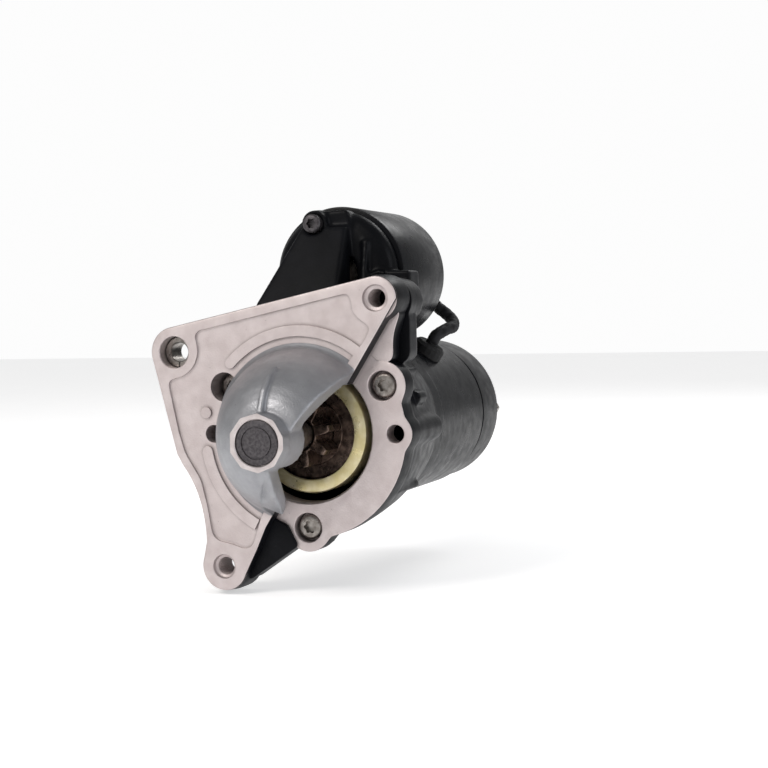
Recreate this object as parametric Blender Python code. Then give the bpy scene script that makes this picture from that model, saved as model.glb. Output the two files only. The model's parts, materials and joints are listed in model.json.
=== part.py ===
"""Starter motor with planetary reduction, built the way it comes apart on a bench.

The frame: the origin is on the motor's axis, in the machined mounting face. +Y runs along the
shaft towards the rear cover, so the nose points to -Y, +X is to the right when looking at the
nose, and +Z points from the motor to the solenoid above it. The sizes below are millimetres.
"""
import bpy
import bmesh
from math import cos, pi, radians, sin, sqrt
from mathutils import Matrix, Vector

MM = 0.001
GAP = 0.3        # clearance between pieces that touch in the real motor
SAME = 1e-3      # points closer than this are one point

# ---- mounting flange and nose -------------------------------------------------------------
EARS = {  # each ear's place across the axis, and the radius of the metal around its hole
    "upper_right": (39.3, 63.3, 10.2),
    "left": (-64.9, 39.4, 12.2),
    "lower": (-40.7, -63.8, 11.6),
}
PLATE_T = 10.0
FACE_2 = 8.0
FLANGE_BACK = 18.0
WINDOW_ANGLE = radians(-32.3)
WINDOW_CUT = 8.0
BOLT_CIRCLE = 45.0
SCREW_ANGLES = (30.0, 270.0, 150.0)
SCREW_HEAD_Y = 10.4
SCREW_SEAT_Y = 15.3
SCREW_HEAD_R = 5.8
DOWEL_ANGLES = (0.0, 180.0)
RIM_R = 50.3
WINDOW_R = 33.2
NOSE_TIP = -48.7
BOSS_R = 13.2
BOSS_BACK = -24.0

# ---- drive --------------------------------------------------------------------------------
PINION_TEETH = 8
PINION_TIP = 15.6
PINION_ROOT = 8.9
PINION_FRONT = -1.0
PINION_BACK = 15.0
TRAVEL = 19.0
CLUTCH_FRONT = 12.6
CLUTCH_R = 29.2
CLUTCH_LIP = 22.6
FORK_PIVOT_Y = 46.5
FORK_PIVOT_Z = 50.0
COLLAR_Y = FORK_PIVOT_Y + TRAVEL / 2

# ---- reduction gear -----------------------------------------------------------------------
MODULE = 1.35
SUN_TEETH = 11
PLANET_TEETH = 16
RING_TEETH = SUN_TEETH + 2 * PLANET_TEETH
PLANET_ORBIT = MODULE * (SUN_TEETH + PLANET_TEETH) / 2
GEAR_FRONT = 77.0
GEAR_BACK = 88.0
GEAR_BORE = 32.0

# ---- motor --------------------------------------------------------------------------------
HOUSING_BACK = 93.0
YOKE_R = 41.0
YOKE_WALL = 3.0
YOKE_BACK = 165.0
COVER_R = 40.0
COVER_BACK = 202.0
THROUGH_BOLT_R = 2.2
THROUGH_BOLT_ORBIT = 35.0
THROUGH_BOLT_ANGLES = (0.0, 180.0)
CORE_R = 29.5
COMMUTATOR_R = 15.0

# ---- solenoid -----------------------------------------------------------------------------
SOL_Z = 76.0
SOL_R = 33.8
SOL_FRONT = 56.3
SOL_BACK = 122.0
SOL_SCREW_R = 26.2
SOL_SCREW_ANGLES = (107.7, -12.3, 227.7)
CAP_BACK = 136.0
PLUNGER_R = 11.0
LEAD_R = 3.3
LEAD_ANGLE = 57.0
LEAD_Y = 122.0
PLUNGER_TRAVEL = TRAVEL * (SOL_Z - FORK_PIVOT_Z) / FORK_PIVOT_Z
CORE_FRONT = 100.0
CORE_SEAT = 108.0
PLUNGER_REAR = CORE_FRONT - PLUNGER_TRAVEL - 1.4

MATERIALS = {}


def clear_scene():
    for old in list(bpy.data.objects):
        bpy.data.objects.remove(old, do_unlink=True)


def material(name, colour, roughness, metallic):
    made = bpy.data.materials.new(name)
    made.use_nodes = True
    shader = made.node_tree.nodes["Principled BSDF"]
    shader.inputs["Base Color"].default_value = (*colour, 1.0)
    shader.inputs["Roughness"].default_value = roughness
    shader.inputs["Metallic"].default_value = metallic
    MATERIALS[name] = made
    return made


def make_materials():
    material("cast_aluminium", (0.56, 0.54, 0.53), 0.45, 0.85)
    material("black_paint", (0.018, 0.018, 0.02), 0.4, 0.0)
    material("black_casting", (0.02, 0.02, 0.021), 0.45, 0.0)
    material("steel", (0.45, 0.44, 0.43), 0.35, 1.0)
    material("dark_steel", (0.11, 0.1, 0.095), 0.45, 0.9)
    material("yellow_zinc", (0.66, 0.62, 0.36), 0.35, 0.9)
    material("bronze", (0.45, 0.3, 0.15), 0.4, 1.0)
    material("copper", (0.6, 0.26, 0.14), 0.35, 1.0)
    material("black_plastic", (0.022, 0.022, 0.024), 0.5, 0.0)
    material("rubber", (0.02, 0.02, 0.02), 0.75, 0.0)
    material("magnet", (0.06, 0.06, 0.065), 0.6, 0.0)
    material("carbon", (0.05, 0.045, 0.042), 0.6, 0.1)


# ---- mesh helpers: every point is given in millimetres --------------------------------------
def finish(bm, name, paint, sharp=35.0):
    """Turn a millimetre bmesh into an object of the scene, in metres."""
    bmesh.ops.remove_doubles(bm, verts=bm.verts, dist=SAME)
    bmesh.ops.recalc_face_normals(bm, faces=bm.faces)
    bmesh.ops.scale(bm, vec=(MM, MM, MM), verts=bm.verts)
    mesh = bpy.data.meshes.new(name)
    bm.to_mesh(mesh)
    bm.free()
    mesh.shade_smooth()
    mesh.set_sharp_from_angle(angle=radians(sharp))
    made = bpy.data.objects.new(name, mesh)
    bpy.context.scene.collection.objects.link(made)
    if paint:
        mesh.materials.append(MATERIALS[paint])
    return made


def as_tool(made):
    """Mark an object as a guide that only shapes another one."""
    made.hide_render = True
    made.display_type = "WIRE"
    return made


def combine(target, tool, operation):
    step = target.modifiers.new(tool.name, "BOOLEAN")
    step.operation = operation
    step.solver = "EXACT"
    step.object = as_tool(tool)
    step.show_render = step.show_viewport
    tool.parent = target


def add(target, tool):
    combine(target, tool, "UNION")


def cut(target, tool):
    combine(target, tool, "DIFFERENCE")


def turned(name, profile, paint=None, at=(0.0, 0.0), steps=30, axis="Y"):
    """Spin a closed profile of (radius, distance along the axis) about a line.

    `at` is the line's place in the two directions across the axis, in X, Y, Z order.
    """
    across = {"Y": Vector((1, 0, 0)), "X": Vector((0, 1, 0)), "Z": Vector((1, 0, 0))}[axis]
    along = {"Y": Vector((0, 1, 0)), "X": Vector((1, 0, 0)), "Z": Vector((0, 0, 1))}[axis]
    centre = {"Y": (at[0], 0, at[1]), "X": (0, at[0], at[1]), "Z": (at[0], at[1], 0)}[axis]
    centre = Vector(centre)
    bm = bmesh.new()
    ring = [bm.verts.new(centre + across * r + along * y) for r, y in profile]
    pairs = zip(ring, ring[1:] + ring[:1], profile, profile[1:] + profile[:1])
    edges = [bm.edges.new((a, b)) for a, b, p, q in pairs if p[0] > 0 or q[0] > 0]
    bmesh.ops.spin(bm, geom=ring + edges, cent=centre, axis=along, angle=2 * pi, steps=steps)
    bmesh.ops.remove_doubles(bm, verts=bm.verts, dist=SAME)
    sides = zip(profile, profile[1:] + profile[:1])
    flat_ends = {y for (r, y), (q, v) in sides if y == v and r * q == 0}
    middles = [v for v in bm.verts if (v.co - centre).cross(along).length < SAME and
               any(abs((v.co - centre).dot(along) - y) < SAME for y in flat_ends)]
    bmesh.ops.dissolve_verts(bm, verts=middles)
    return finish(bm, name, paint)


def tube_profile(outer, inner, y0, y1):
    return [(outer, y0), (outer, y1), (inner, y1), (inner, y0)]


def rod_profile(radius, y0, y1):
    return [(0, y0), (radius, y0), (radius, y1), (0, y1)]


def prism(name, outline, low, high, paint=None, axis="Y"):
    """Extrude a flat outline along an axis; its points are in X, Y, Z order without the axis."""
    bm = bmesh.new()
    places = {"Y": lambda a, b: (a, low, b), "X": lambda a, b: (low, a, b), "Z": lambda a, b: (a, b, low)}
    place = places[axis]
    step = {"Y": (0, high - low, 0), "X": (high - low, 0, 0), "Z": (0, 0, high - low)}[axis]
    face = bm.faces.new([bm.verts.new(place(a, b)) for a, b in outline])
    grown = bmesh.ops.extrude_face_region(bm, geom=[face])
    moved = [v for v in grown["geom"] if isinstance(v, bmesh.types.BMVert)]
    bmesh.ops.translate(bm, verts=moved, vec=step)
    return finish(bm, name, paint)


def block(name, x, y, z, paint=None):
    """A box between the two values of each direction."""
    return prism(name, [(x[0], z[0]), (x[1], z[0]), (x[1], z[1]), (x[0], z[1])], y[0], y[1], paint)


def hull(name, points, paint=None):
    bm = bmesh.new()
    for point in points:
        bm.verts.new(point)
    made = bmesh.ops.convex_hull(bm, input=bm.verts)
    loose = [v for v in made["geom_interior"] if isinstance(v, bmesh.types.BMVert)]
    bmesh.ops.delete(bm, geom=loose, context="VERTS")
    bmesh.ops.dissolve_limit(bm, angle_limit=radians(0.5), verts=bm.verts, edges=bm.edges)
    return finish(bm, name, paint)


def hole(name, x, z, radius, y0, y1, steps=16):
    return turned(name, rod_profile(radius, y0, y1), at=(x, z), steps=steps)


def arc(cx, cz, radius, start, end, count):
    """Points on an arc, by angles in degrees."""
    turn = [radians(start + (end - start) * i / count) for i in range(count + 1)]
    return [(cx + radius * cos(a), cz + radius * sin(a)) for a in turn]


def bezier(p, q, r, count):
    """Points on a quadratic curve from p to r that leaves and arrives towards q."""
    out = []
    for i in range(1, count):
        t = i / count
        out.append(tuple((1 - t) ** 2 * a + 2 * t * (1 - t) * b + t * t * c for a, b, c in zip(p, q, r)))
    return out


def polar(radius, angle):
    return radius * cos(radians(angle)), radius * sin(radians(angle))


def hexagon(cx, cz, across_flats, turn=0.0):
    return arc(cx, cz, across_flats / sqrt(3), turn, turn + 300, 5)


def gear_outline(teeth, root, tip, root_share, tip_share, phase=0.0, cx=0.0, cz=0.0):
    """Straight-flanked teeth; a share is the tooth's width there as a part of the pitch."""
    pitch = 360 / teeth
    points = []
    for i in range(teeth):
        middle = phase + i * pitch
        corners = ((root, -root_share), (tip, -tip_share), (tip, tip_share), (root, root_share))
        for radius, side in corners:
            angle = radians(middle + side * pitch / 2)
            points.append((cx + radius * cos(angle), cz + radius * sin(angle)))
    return points


# ---- drive end housing: mounting plate, rear disc and nose in one casting ---------------------
def window_point(out, along):
    """A point at a distance out from the axis towards the flywheel, and along the cut line."""
    across = Vector((cos(WINDOW_ANGLE), sin(WINDOW_ANGLE)))
    line = Vector((-across.y, across.x))
    return tuple(across * out + line * along)


def plate_outline():
    right, left, low = EARS["upper_right"], EARS["left"], EARS["lower"]
    points = arc(*left, 193.4, 101.9, 8)
    points += arc(*right, 101.9, -1.9, 9)
    points += [window_point(WINDOW_CUT, -47.3), window_point(9.6, -59.0)]
    points += arc(*low, -16.6, -198.6, 14)
    knee, waist = (-50.0, -52.0), (-61.5, -15.6)
    points += [knee] + bezier(knee, (-50.5, -30.0), waist, 6) + [waist, (-64.7, -10.0)]
    return points


def nose_outer():
    """The bell of the nose: radius and distance along the axis, outside, front to back."""
    return [(0, -40.0), (16.0, -38.2), (21.5, -35.6), (27.6, -29.8), (31.8, -23.5), (35.0, -17.5),
            (37.6, -11.5), (39.4, -5.5), (40.4, 0.5), (40.4, 9.0), (0, 9.0)]


def nose_inner():
    return [(0, -24.0), (13.4, -26.0), (16.0, -27.0), (22.0, -20.5), (28.0, -12.5), (WINDOW_R, -3.0),
            (WINDOW_R, 19.0), (0, 19.0)]


def bolt_places():
    places = {f"screw_{i + 1}": polar(BOLT_CIRCLE, a) for i, a in enumerate(SCREW_ANGLES)}
    places.update({f"dowel_{i + 1}": polar(BOLT_CIRCLE, a) for i, a in enumerate(DOWEL_ANGLES)})
    return places


def rim_outline(shrink=0.0):
    """The round rim with a lobe around each screw and dowel hole, seen along the axis."""
    lobes = [(a, 11.6) for a in SCREW_ANGLES] + [(a, 8.4) for a in DOWEL_ANGLES]
    points = []
    for step in range(80):
        angle = 4.5 * step
        reach = RIM_R
        for middle, radius in lobes:
            side = BOLT_CIRCLE * sin(radians(angle - middle))
            ahead = BOLT_CIRCLE * cos(radians(angle - middle))
            if ahead > 0 and abs(side) < radius:
                reach = max(reach, ahead + sqrt(radius ** 2 - side ** 2))
        points.append(polar(reach - shrink, angle))
    return points


def pocket_outline():
    """The cast pocket inside the machined rim, leaving the metal around each ear."""
    right, left, low = EARS["upper_right"], EARS["left"], EARS["lower"]
    points = [(-48.9, 50.2), (25.4, 65.8)]
    points += arc(right[0], right[1], 14.0, 178, 260, 6)
    points += [window_point(WINDOW_CUT - 3.5, 45.0), window_point(WINDOW_CUT - 3.5, -42.0)]
    points += arc(low[0], low[1], 13.5, 35, 118, 6)
    points += [(-48.9, -35.2), (-52.1, -22.2), (-60.2, -9.3), (-68.3, 25.6)]
    points += arc(left[0], left[1], 13.5, -85, 20, 7)
    return points


def arc_pad(name, start, end):
    outline = arc(0, 0, 51.0, start, end, 9) + arc(0, 0, 46.0, end, start, 9)
    return prism(name, outline, -1.0, 2.0)


def drive_end_housing():
    body = prism("drive_end_housing", rim_outline(), FACE_2, FLANGE_BACK, "cast_aluminium")
    add(body, prism("plate_shape", plate_outline(), 0.0, PLATE_T))
    for name, (x, z, radius) in EARS.items():
        ear = rod_profile(radius + 0.8, 1.5, FLANGE_BACK - 0.5)
        add(body, turned(f"ear_{name}", ear, at=(x, z), steps=20))
    web = [(30.0, 30.0), (44.6, 34.0), (44.8, 46.0), (49.0, 58.0), (36.0, 56.0), (22.0, 42.0)]
    add(body, prism("upper_web", web, FACE_2 + 0.2, FLANGE_BACK - 0.8))
    web = [(-30.0, -71.0), (-5.0, -54.0), (-10.0, -44.0), (-40.0, -30.0), (-49.0, -52.0)]
    add(body, prism("lower_web", web, 6.0, FLANGE_BACK - 0.8))
    pocket = prism("pocket", pocket_outline(), -1.0, 1.0)
    cut(pocket, arc_pad("upper_pad", 50.0, 136.0))
    cut(pocket, arc_pad("lower_pad", 190.0, 242.0))
    cut(pocket, hole("round_pad", -48.5, 10.2, 2.7, -1.5, 1.5, 12))
    cut(body, pocket)
    bell = turned("bell", nose_outer(), steps=40)
    ends = [window_point(WINDOW_CUT, -70.0), window_point(80.0, -70.0), window_point(80.0, 70.0)]
    ends.append(window_point(WINDOW_CUT, 70.0))
    cut(bell, prism("bell_window", ends, -60.0, FACE_2))
    add(body, bell)
    cut(body, turned("bell_inside", nose_inner(), steps=40))
    add(body, turned("boss", rod_profile(BOSS_R, NOSE_TIP, BOSS_BACK), steps=30))
    bore = [(0, -50.0), (10.5, -50.0), (10.5, -45.5), (9.3, -45.5), (9.3, -20.0), (0, -20.0)]
    cut(body, turned("nose_bore", bore))
    housing_holes(body)
    return body


def housing_holes(body):
    for name, (x, z) in bolt_places().items():
        if "screw" in name:
            cut(body, hole(f"{name}_seat", x, z, 7.05, -2.0, SCREW_SEAT_Y))
            cut(body, hole(f"{name}_hole", x, z, 3.6, SCREW_SEAT_Y - 1.0, FLANGE_BACK + 1.0, 14))
        else:
            cut(body, hole(f"{name}_hole", x, z, 4.3, -2.0, 19.0))
    for name, radius, mouth in (("upper_right", 4.3, 6.3), ("lower", 4.3, 5.9)):
        x, z, _ = EARS[name]
        profile = [(0, -1.0), (mouth, -1.0), (mouth, 1.5), (radius, 3.0), (radius, 19.0), (0, 19.0)]
        cut(body, turned(f"thread_{name}", profile, at=(x, z), steps=18))
    x, z, _ = EARS["left"]
    cut(body, hole("bushed_hole", x, z, 7.7, -1.0, 19.0, 18))


def nose_parts():
    turned("nose_bush", tube_profile(9.0, 6.1, -43.0, -26.0), "bronze", steps=20)
    cap = turned("nose_end_cap", rod_profile(10.2, -48.4, -45.8), "dark_steel", steps=24)
    cut(cap, turned("cap_groove", tube_profile(7.4, 6.8, -49.0, -48.0), steps=24))
    x, z, _ = EARS["left"]
    turned("ear_bushing", tube_profile(7.4, 4.6, 6.0, 17.0), "steel", at=(x, z), steps=18)


def socket_screw(name, x, z, y_head, head_r, head_h, shank_r, length, paint="steel"):
    """A round-headed screw that points to +Y, with a six-sided socket in its head."""
    top, seat = y_head, y_head + head_h
    profile = [(0, top), (head_r - 0.6, top), (head_r, top + 0.6), (head_r, seat), (shank_r, seat)]
    profile += [(shank_r, seat + length), (0, seat + length)]
    made = turned(name, profile, paint, at=(x, z), steps=18)
    cut(made, prism(f"{name}_socket", hexagon(x, z, head_r), top - 1.0, top + 2.6))
    return made


def housing_screws():
    for i, angle in enumerate(SCREW_ANGLES):
        x, z = polar(BOLT_CIRCLE, angle)
        height = SCREW_SEAT_Y - GAP - SCREW_HEAD_Y
        socket_screw(f"housing_screw_{i + 1}", x, z, SCREW_HEAD_Y, SCREW_HEAD_R, height, 3.2, 13.0)


# ---- intermediate housing: black casting with the fork dome and the solenoid seat -------------
def intermediate_housing():
    front = FLANGE_BACK + GAP
    wide = RIM_R - 0.6
    shell = [(0, front + 0.5), (wide, front + 0.5), (wide, 26.0), (YOKE_R + 0.4, HOUSING_BACK)]
    body = turned("intermediate_housing", shell + [(0, HOUSING_BACK)], "black_casting", steps=40)
    add(body, prism("back_rim", rim_outline(0.3), front, 22.0))
    lobe = arc(44.0, 45.0, 5.5, 90, -90, 6) + [(30.0, 35.0), (26.0, 44.0), (38.0, 52.0)]
    add(body, prism("side_lobe", lobe, front + 0.2, 30.0))
    boss = [(0, front + 0.4), (8.1, front + 0.4), (7.4, 57.5), (5.8, 59.0), (0, 59.0)]
    add(body, turned("dowel_boss", boss, at=(BOLT_CIRCLE, 0.0), steps=18))
    add(body, fork_dome())
    seat = turned("solenoid_seat", rod_profile(31.6, 46.0, SOL_FRONT - GAP), at=(0, SOL_Z), steps=40)
    add(body, seat)
    for i, angle in enumerate(SOL_SCREW_ANGLES):
        x, z = polar(SOL_SCREW_R, angle)
        boss = rod_profile(7.2, 43.6 + 0.2 * i, SOL_FRONT - 0.6 - 0.2 * i)
        add(body, turned(f"seat_boss_{i}", boss, at=(x, SOL_Z + z), steps=18))
    lug = [(30.0, 69.5), (41.5, 69.5), (41.5, 76.5), (30.0, 77.0)]
    add(body, prism("corner_lug", lug, 42.0, 55.0))
    cavities(body, front)
    return body


def fork_dome():
    low = [(-31.0, 23.0, 40.0), (-31.0, 23.0, 62.0), (10.5, 21.0, 40.0), (10.5, 21.0, 62.0)]
    top = [(-14.5, 42.5, 99.0), (-3.0, 45.0, 107.5), (6.0, 45.0, 107.5), (8.5, 42.5, 99.0)]
    back = []
    for x, z in arc(0, SOL_Z, 33.4, 200, 74, 12):
        back += [(x, SOL_FRONT - 1.6, z), (x, 47.0, z)]
    back += [(10.5, SOL_FRONT - 1.6, 40.0), (-34.0, SOL_FRONT - 1.6, 38.0), (-34.5, 34.0, 62.0)]
    return hull("fork_dome", low + top + back)


def cavities(body, front):
    """The clutch space, the fork's slot, the gear space and the screw holes."""
    inside = [(0, front - 1), (34.5, front - 1), (34.5, 44.0), (31.0, 63.7), (9.0, 63.7)]
    inside += [(9.0, 65.0), (0, 65.0)]
    cut(body, turned("clutch_space", inside, steps=30))
    slot = [(31.0, 20.0), (31.0, 62.0), (33.0, 72.0), (37.2, 84.0), (57.0, 86.0), (57.0, 62.0)]
    slot += [(62.0, 40.0), (62.0, 20.0)]
    cut(body, prism("fork_slot", slot, -9.0, 9.0, axis="X"))
    cut(body, hole("plunger_mouth", 0, SOL_Z, 13.0, 44.0, 57.0, 20))
    gears = [(0, 63.0), (10.5, 63.0), (10.5, 68.0), (GEAR_BORE, 68.0), (GEAR_BORE, 94.0), (0, 94.0)]
    cut(body, turned("gear_space", gears, steps=30))
    clearance = rod_profile(SOL_R + 0.5, SOL_FRONT - GAP, 95.0)
    cut(body, turned("can_clearance", clearance, at=(0, SOL_Z), steps=40))
    pivot = (FORK_PIVOT_Y, FORK_PIVOT_Z)
    cut(body, turned("fork_pivot_hole", rod_profile(2.6, -14.0, 40.0), at=pivot, axis="X", steps=12))
    for name, (x, z) in bolt_places().items():
        radius = 3.5 if "screw" in name else 4.3
        cut(body, hole(f"back_{name}_hole", x, z, radius, front - 1, 30.0, 14))
    for i, angle in enumerate(THROUGH_BOLT_ANGLES):
        x, z = polar(THROUGH_BOLT_ORBIT, angle)
        cut(body, hole(f"bolt_thread_{i}", x, z, THROUGH_BOLT_R + GAP, 79.0, 94.0, 12))
    for i, angle in enumerate(SOL_SCREW_ANGLES):
        x, z = polar(SOL_SCREW_R, angle)
        cut(body, hole(f"seat_hole_{i}", x, SOL_Z + z, 2.8, 40.0, 58.0, 12))
        cut(body, hole(f"screw_tunnel_{i}", x, SOL_Z + z, 5.2, 12.0, 43.8, 14))


# ---- drive: output shaft, pinion, overrunning clutch, fork -----------------------------------
def output_shaft():
    front = [(0, -42.0), (5.2, -42.0), (6.0, -41.2), (6.0, -19.4), (7.2, -19.4), (7.2, 28.2)]
    middle = [(8.6, 28.2), (8.6, 62.0), (9.9, 62.0), (9.9, 69.0)]
    disc = [(30.0, 69.0), (30.0, 75.0), (12.0, 75.0), (12.0, 76.0), (6.2, 76.0), (6.2, 71.0), (0, 71.0)]
    shaft = turned("output_shaft", front + middle + disc, "steel", steps=24)
    for i in range(3):
        x, z = polar(PLANET_ORBIT, 90 + 120 * i)
        add(shaft, turned(f"planet_pin_{i + 1}", rod_profile(4.0, 72.0, 89.0), at=(x, z), steps=14))
    return shaft


def pinion():
    outline = gear_outline(PINION_TEETH, PINION_ROOT, PINION_TIP, 0.72, 0.26, phase=12.0)
    body = prism("pinion", outline, PINION_FRONT, PINION_BACK, "dark_steel")
    add(body, turned("pinion_hub", rod_profile(11.0, PINION_BACK - 3.0, 27.0), steps=20))
    cut(body, turned("pinion_bore", rod_profile(7.6, -5.0, 30.0), steps=20))
    return body


def clutch():
    shell = [(CLUTCH_LIP, CLUTCH_FRONT), (27.8, CLUTCH_FRONT), (CLUTCH_R, CLUTCH_FRONT + 1.6)]
    shell += [(CLUTCH_R, 35.0), (27.0, 36.0), (18.0, 36.0), (18.0, 34.8), (27.9, 34.8)]
    shell += [(27.9, CLUTCH_FRONT + 1.4), (CLUTCH_LIP, CLUTCH_FRONT + 1.2)]
    turned("clutch_shell", shell, "yellow_zinc", steps=36)
    race = [(11.4, 15.4), (22.0, 15.4), (27.5, 16.0), (27.5, 34.4), (17.6, 34.4), (13.4, 36.5)]
    race += [(13.4, 61.5), (9.0, 61.5), (9.0, 29.0), (11.4, 27.6)]
    turned("clutch_race", race, "steel", steps=24)
    y0, y1 = COLLAR_Y - 5.2, COLLAR_Y + 5.2
    collar = [(13.8, y0), (19.0, y0), (19.0, y0 + 1.9), (15.4, y0 + 1.9), (15.4, y1 - 1.9)]
    collar += [(19.0, y1 - 1.9), (19.0, y1), (13.8, y1)]
    turned("fork_collar", collar, "black_plastic", steps=20)
    turned("stop_ring", tube_profile(9.2, 6.3, -23.4, -20.6), "steel", steps=18)


def shift_fork():
    """The lever that turns the plunger's pull into the pinion's push."""
    y, z = FORK_PIVOT_Y, FORK_PIVOT_Z
    lean = (COLLAR_Y - y) / z
    tip = (y - (SOL_Z - z) * lean, SOL_Z)
    side = [(tip[0] - 1.9, SOL_Z - 5), (tip[0] - 1.1, SOL_Z + 3.4), (tip[0] + 1.1, SOL_Z + 3.4)]
    side += [(tip[0] + 1.9, SOL_Z - 5), (y + 5.5, z + 2), (y + 5.0, z - 6), (COLLAR_Y - 4.2, 22.0)]
    side += [(COLLAR_Y - 10.5, 22.0), (y - 5.0, z - 5), (y - 5.5, z + 2)]
    fork = prism("shift_fork", side, -3.2, 3.2, "black_plastic", axis="X")
    wide = arc(0, 0, 26.0, 35, 145, 8) + arc(0, 0, 20.4, 145, 35, 8)
    low, high = COLLAR_Y - 5.8, COLLAR_Y - 0.6
    add(fork, prism("fork_bow", wide, low - 3.2, high - 1.0))
    for sign in (-1, 1):
        arm = [(sign * a, b) for a, b in ((24.8, 2.0), (20.4, 2.0), (16.9, 11.9), (21.3, 14.9))]
        add(fork, prism(f"fork_arm_{sign}", arm, low, high))
        near, far = sorted((sign * 16.2, sign * 22.0))
        pad = rod_profile(2.6, near, far)
        add(fork, turned(f"fork_pad_{sign}", pad, at=(COLLAR_Y, 0.0), steps=12, axis="X"))
        near, far = sorted((sign * 20.4, sign * 24.0))
        add(fork, block(f"fork_toe_{sign}", (near, far), (low, COLLAR_Y + 2.4), (-3.0, 5.0)))
    cut(fork, turned("fork_eye", rod_profile(2.9, -5.0, 5.0), at=(y, z), axis="X", steps=14))
    turned("fork_pivot_pin", rod_profile(2.3, -13.5, 36.0), "steel", at=(y, z), axis="X", steps=12)


# ---- reduction gear --------------------------------------------------------------------------
def reduction_gear():
    tip, root = 0.82 * MODULE, 1.1 * MODULE
    half = MODULE * PLANET_TEETH / 2
    for i in range(3):
        angle = 90 + 120 * i
        x, z = polar(PLANET_ORBIT, angle)
        turn = angle + 180 + 180 / PLANET_TEETH + planet_turn(angle)
        outline = gear_outline(PLANET_TEETH, half - root, half + tip, 0.62, 0.24, turn, x, z)
        planet = prism(f"planet_gear_{i + 1}", outline, GEAR_FRONT, GEAR_BACK, "steel")
        cut(planet, hole(f"planet_bore_{i + 1}", x, z, 4.0 + GAP, 70.0, 95.0, 14))
    ring = MODULE * RING_TEETH / 2
    body = turned("ring_gear", rod_profile(GEAR_BORE - 0.4, 76.4, 91.0), "black_plastic", steps=30)
    outline = gear_outline(RING_TEETH, ring + root, ring - tip, 0.62, 0.24, 90.0)
    cut(body, prism("ring_teeth", list(reversed(outline)), 70.0, 95.0))


def planet_turn(angle):
    """How far a planet is turned so that its teeth fit the sun's, whose tooth points to +Z."""
    return (angle - 90) * SUN_TEETH / PLANET_TEETH


# ---- motor -----------------------------------------------------------------------------------
def armature():
    shaft = [(0, 72.0), (5.6, 72.0), (5.6, 76.4), (4.6, 76.4), (4.6, 90.0), (6.0, 90.0), (6.0, 96.0)]
    shaft += [(7.4, 96.0), (7.4, 181.0), (5.6, 181.0), (5.6, 198.0), (0, 198.0)]
    body = turned("armature_shaft", shaft, "steel", steps=20)
    half = MODULE * SUN_TEETH / 2
    teeth = gear_outline(SUN_TEETH, half - 1.1 * MODULE, half + 0.82 * MODULE, 0.62, 0.24, 90.0)
    add(body, prism("sun_gear", teeth, GEAR_FRONT - 0.5, 89.0))
    slots = gear_outline(16, CORE_R - 8.0, CORE_R, 0.5, 0.8, 11.25)
    core = prism("armature_core", slots, 104.0, 150.0, "steel")
    cut(core, hole("core_bore", 0, 0, 7.7, 100.0, 155.0, 20))
    turned("armature_winding_front", tube_profile(26.5, 9.5, 97.0, 103.7), "copper", steps=20)
    turned("armature_winding_rear", tube_profile(26.5, 9.5, 150.3, 157.0), "copper", steps=20)
    bars = gear_outline(23, COMMUTATOR_R - 0.8, COMMUTATOR_R, 0.86, 0.86, 0.0)
    ring = prism("commutator", bars, 158.0, 179.0, "copper")
    cut(ring, hole("commutator_bore", 0, 0, 7.7, 150.0, 190.0, 20))


def yoke():
    profile = tube_profile(YOKE_R, YOKE_R - YOKE_WALL, HOUSING_BACK + GAP, YOKE_BACK - GAP)
    tube = turned("yoke_tube", profile, "black_paint", steps=40)
    way = turned("lead_way", rod_profile(5.3, 30.0, 50.0), at=(0.0, LEAD_Y), steps=18, axis="Z")
    way.data.transform(Matrix.Rotation(radians(90 - LEAD_ANGLE), 4, "Y"))
    cut(tube, way)
    for i in range(4):
        middle = 45 + 90 * i
        outline = arc(0, 0, YOKE_R - YOKE_WALL - GAP, middle - 37, middle + 37, 10)
        outline += arc(0, 0, CORE_R + 0.8, middle + 37, middle - 37, 10)
        prism(f"field_magnet_{i + 1}", outline, 102.0, 152.0, "magnet")


def brush_gear():
    """A plastic plate with four guides, and a carbon brush in each."""
    plate = turned("brush_holder", tube_profile(37.0, 17.5, 158.5, 161.5), "black_plastic", steps=30)
    for i, angle in enumerate(THROUGH_BOLT_ANGLES):
        x, z = polar(THROUGH_BOLT_ORBIT, angle)
        cut(plate, hole(f"bolt_notch_{i}", x, z, THROUGH_BOLT_R + 0.4, 157.0, 163.0, 12))
    for i in range(4):
        guide = block(f"guide_{i}", (19.0, 34.0), (161.0, 173.5), (-6.0, 6.0))
        cut(guide, block(f"guide_slot_{i}", (17.0, 36.0), (162.7, 174.5), (-4.4, 4.4)))
        turn = Matrix.Rotation(radians(-45 - 90 * i), 4, "Y")
        guide.data.transform(turn)
        guide.modifiers[0].object.data.transform(turn)
        add(plate, guide)
        length = (COMMUTATOR_R + GAP, COMMUTATOR_R + 14.0)
        carbon = block(f"brush_{i + 1}", length, (163.0, 173.0), (-4.1, 4.1), "carbon")
        carbon.data.transform(turn)


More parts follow.
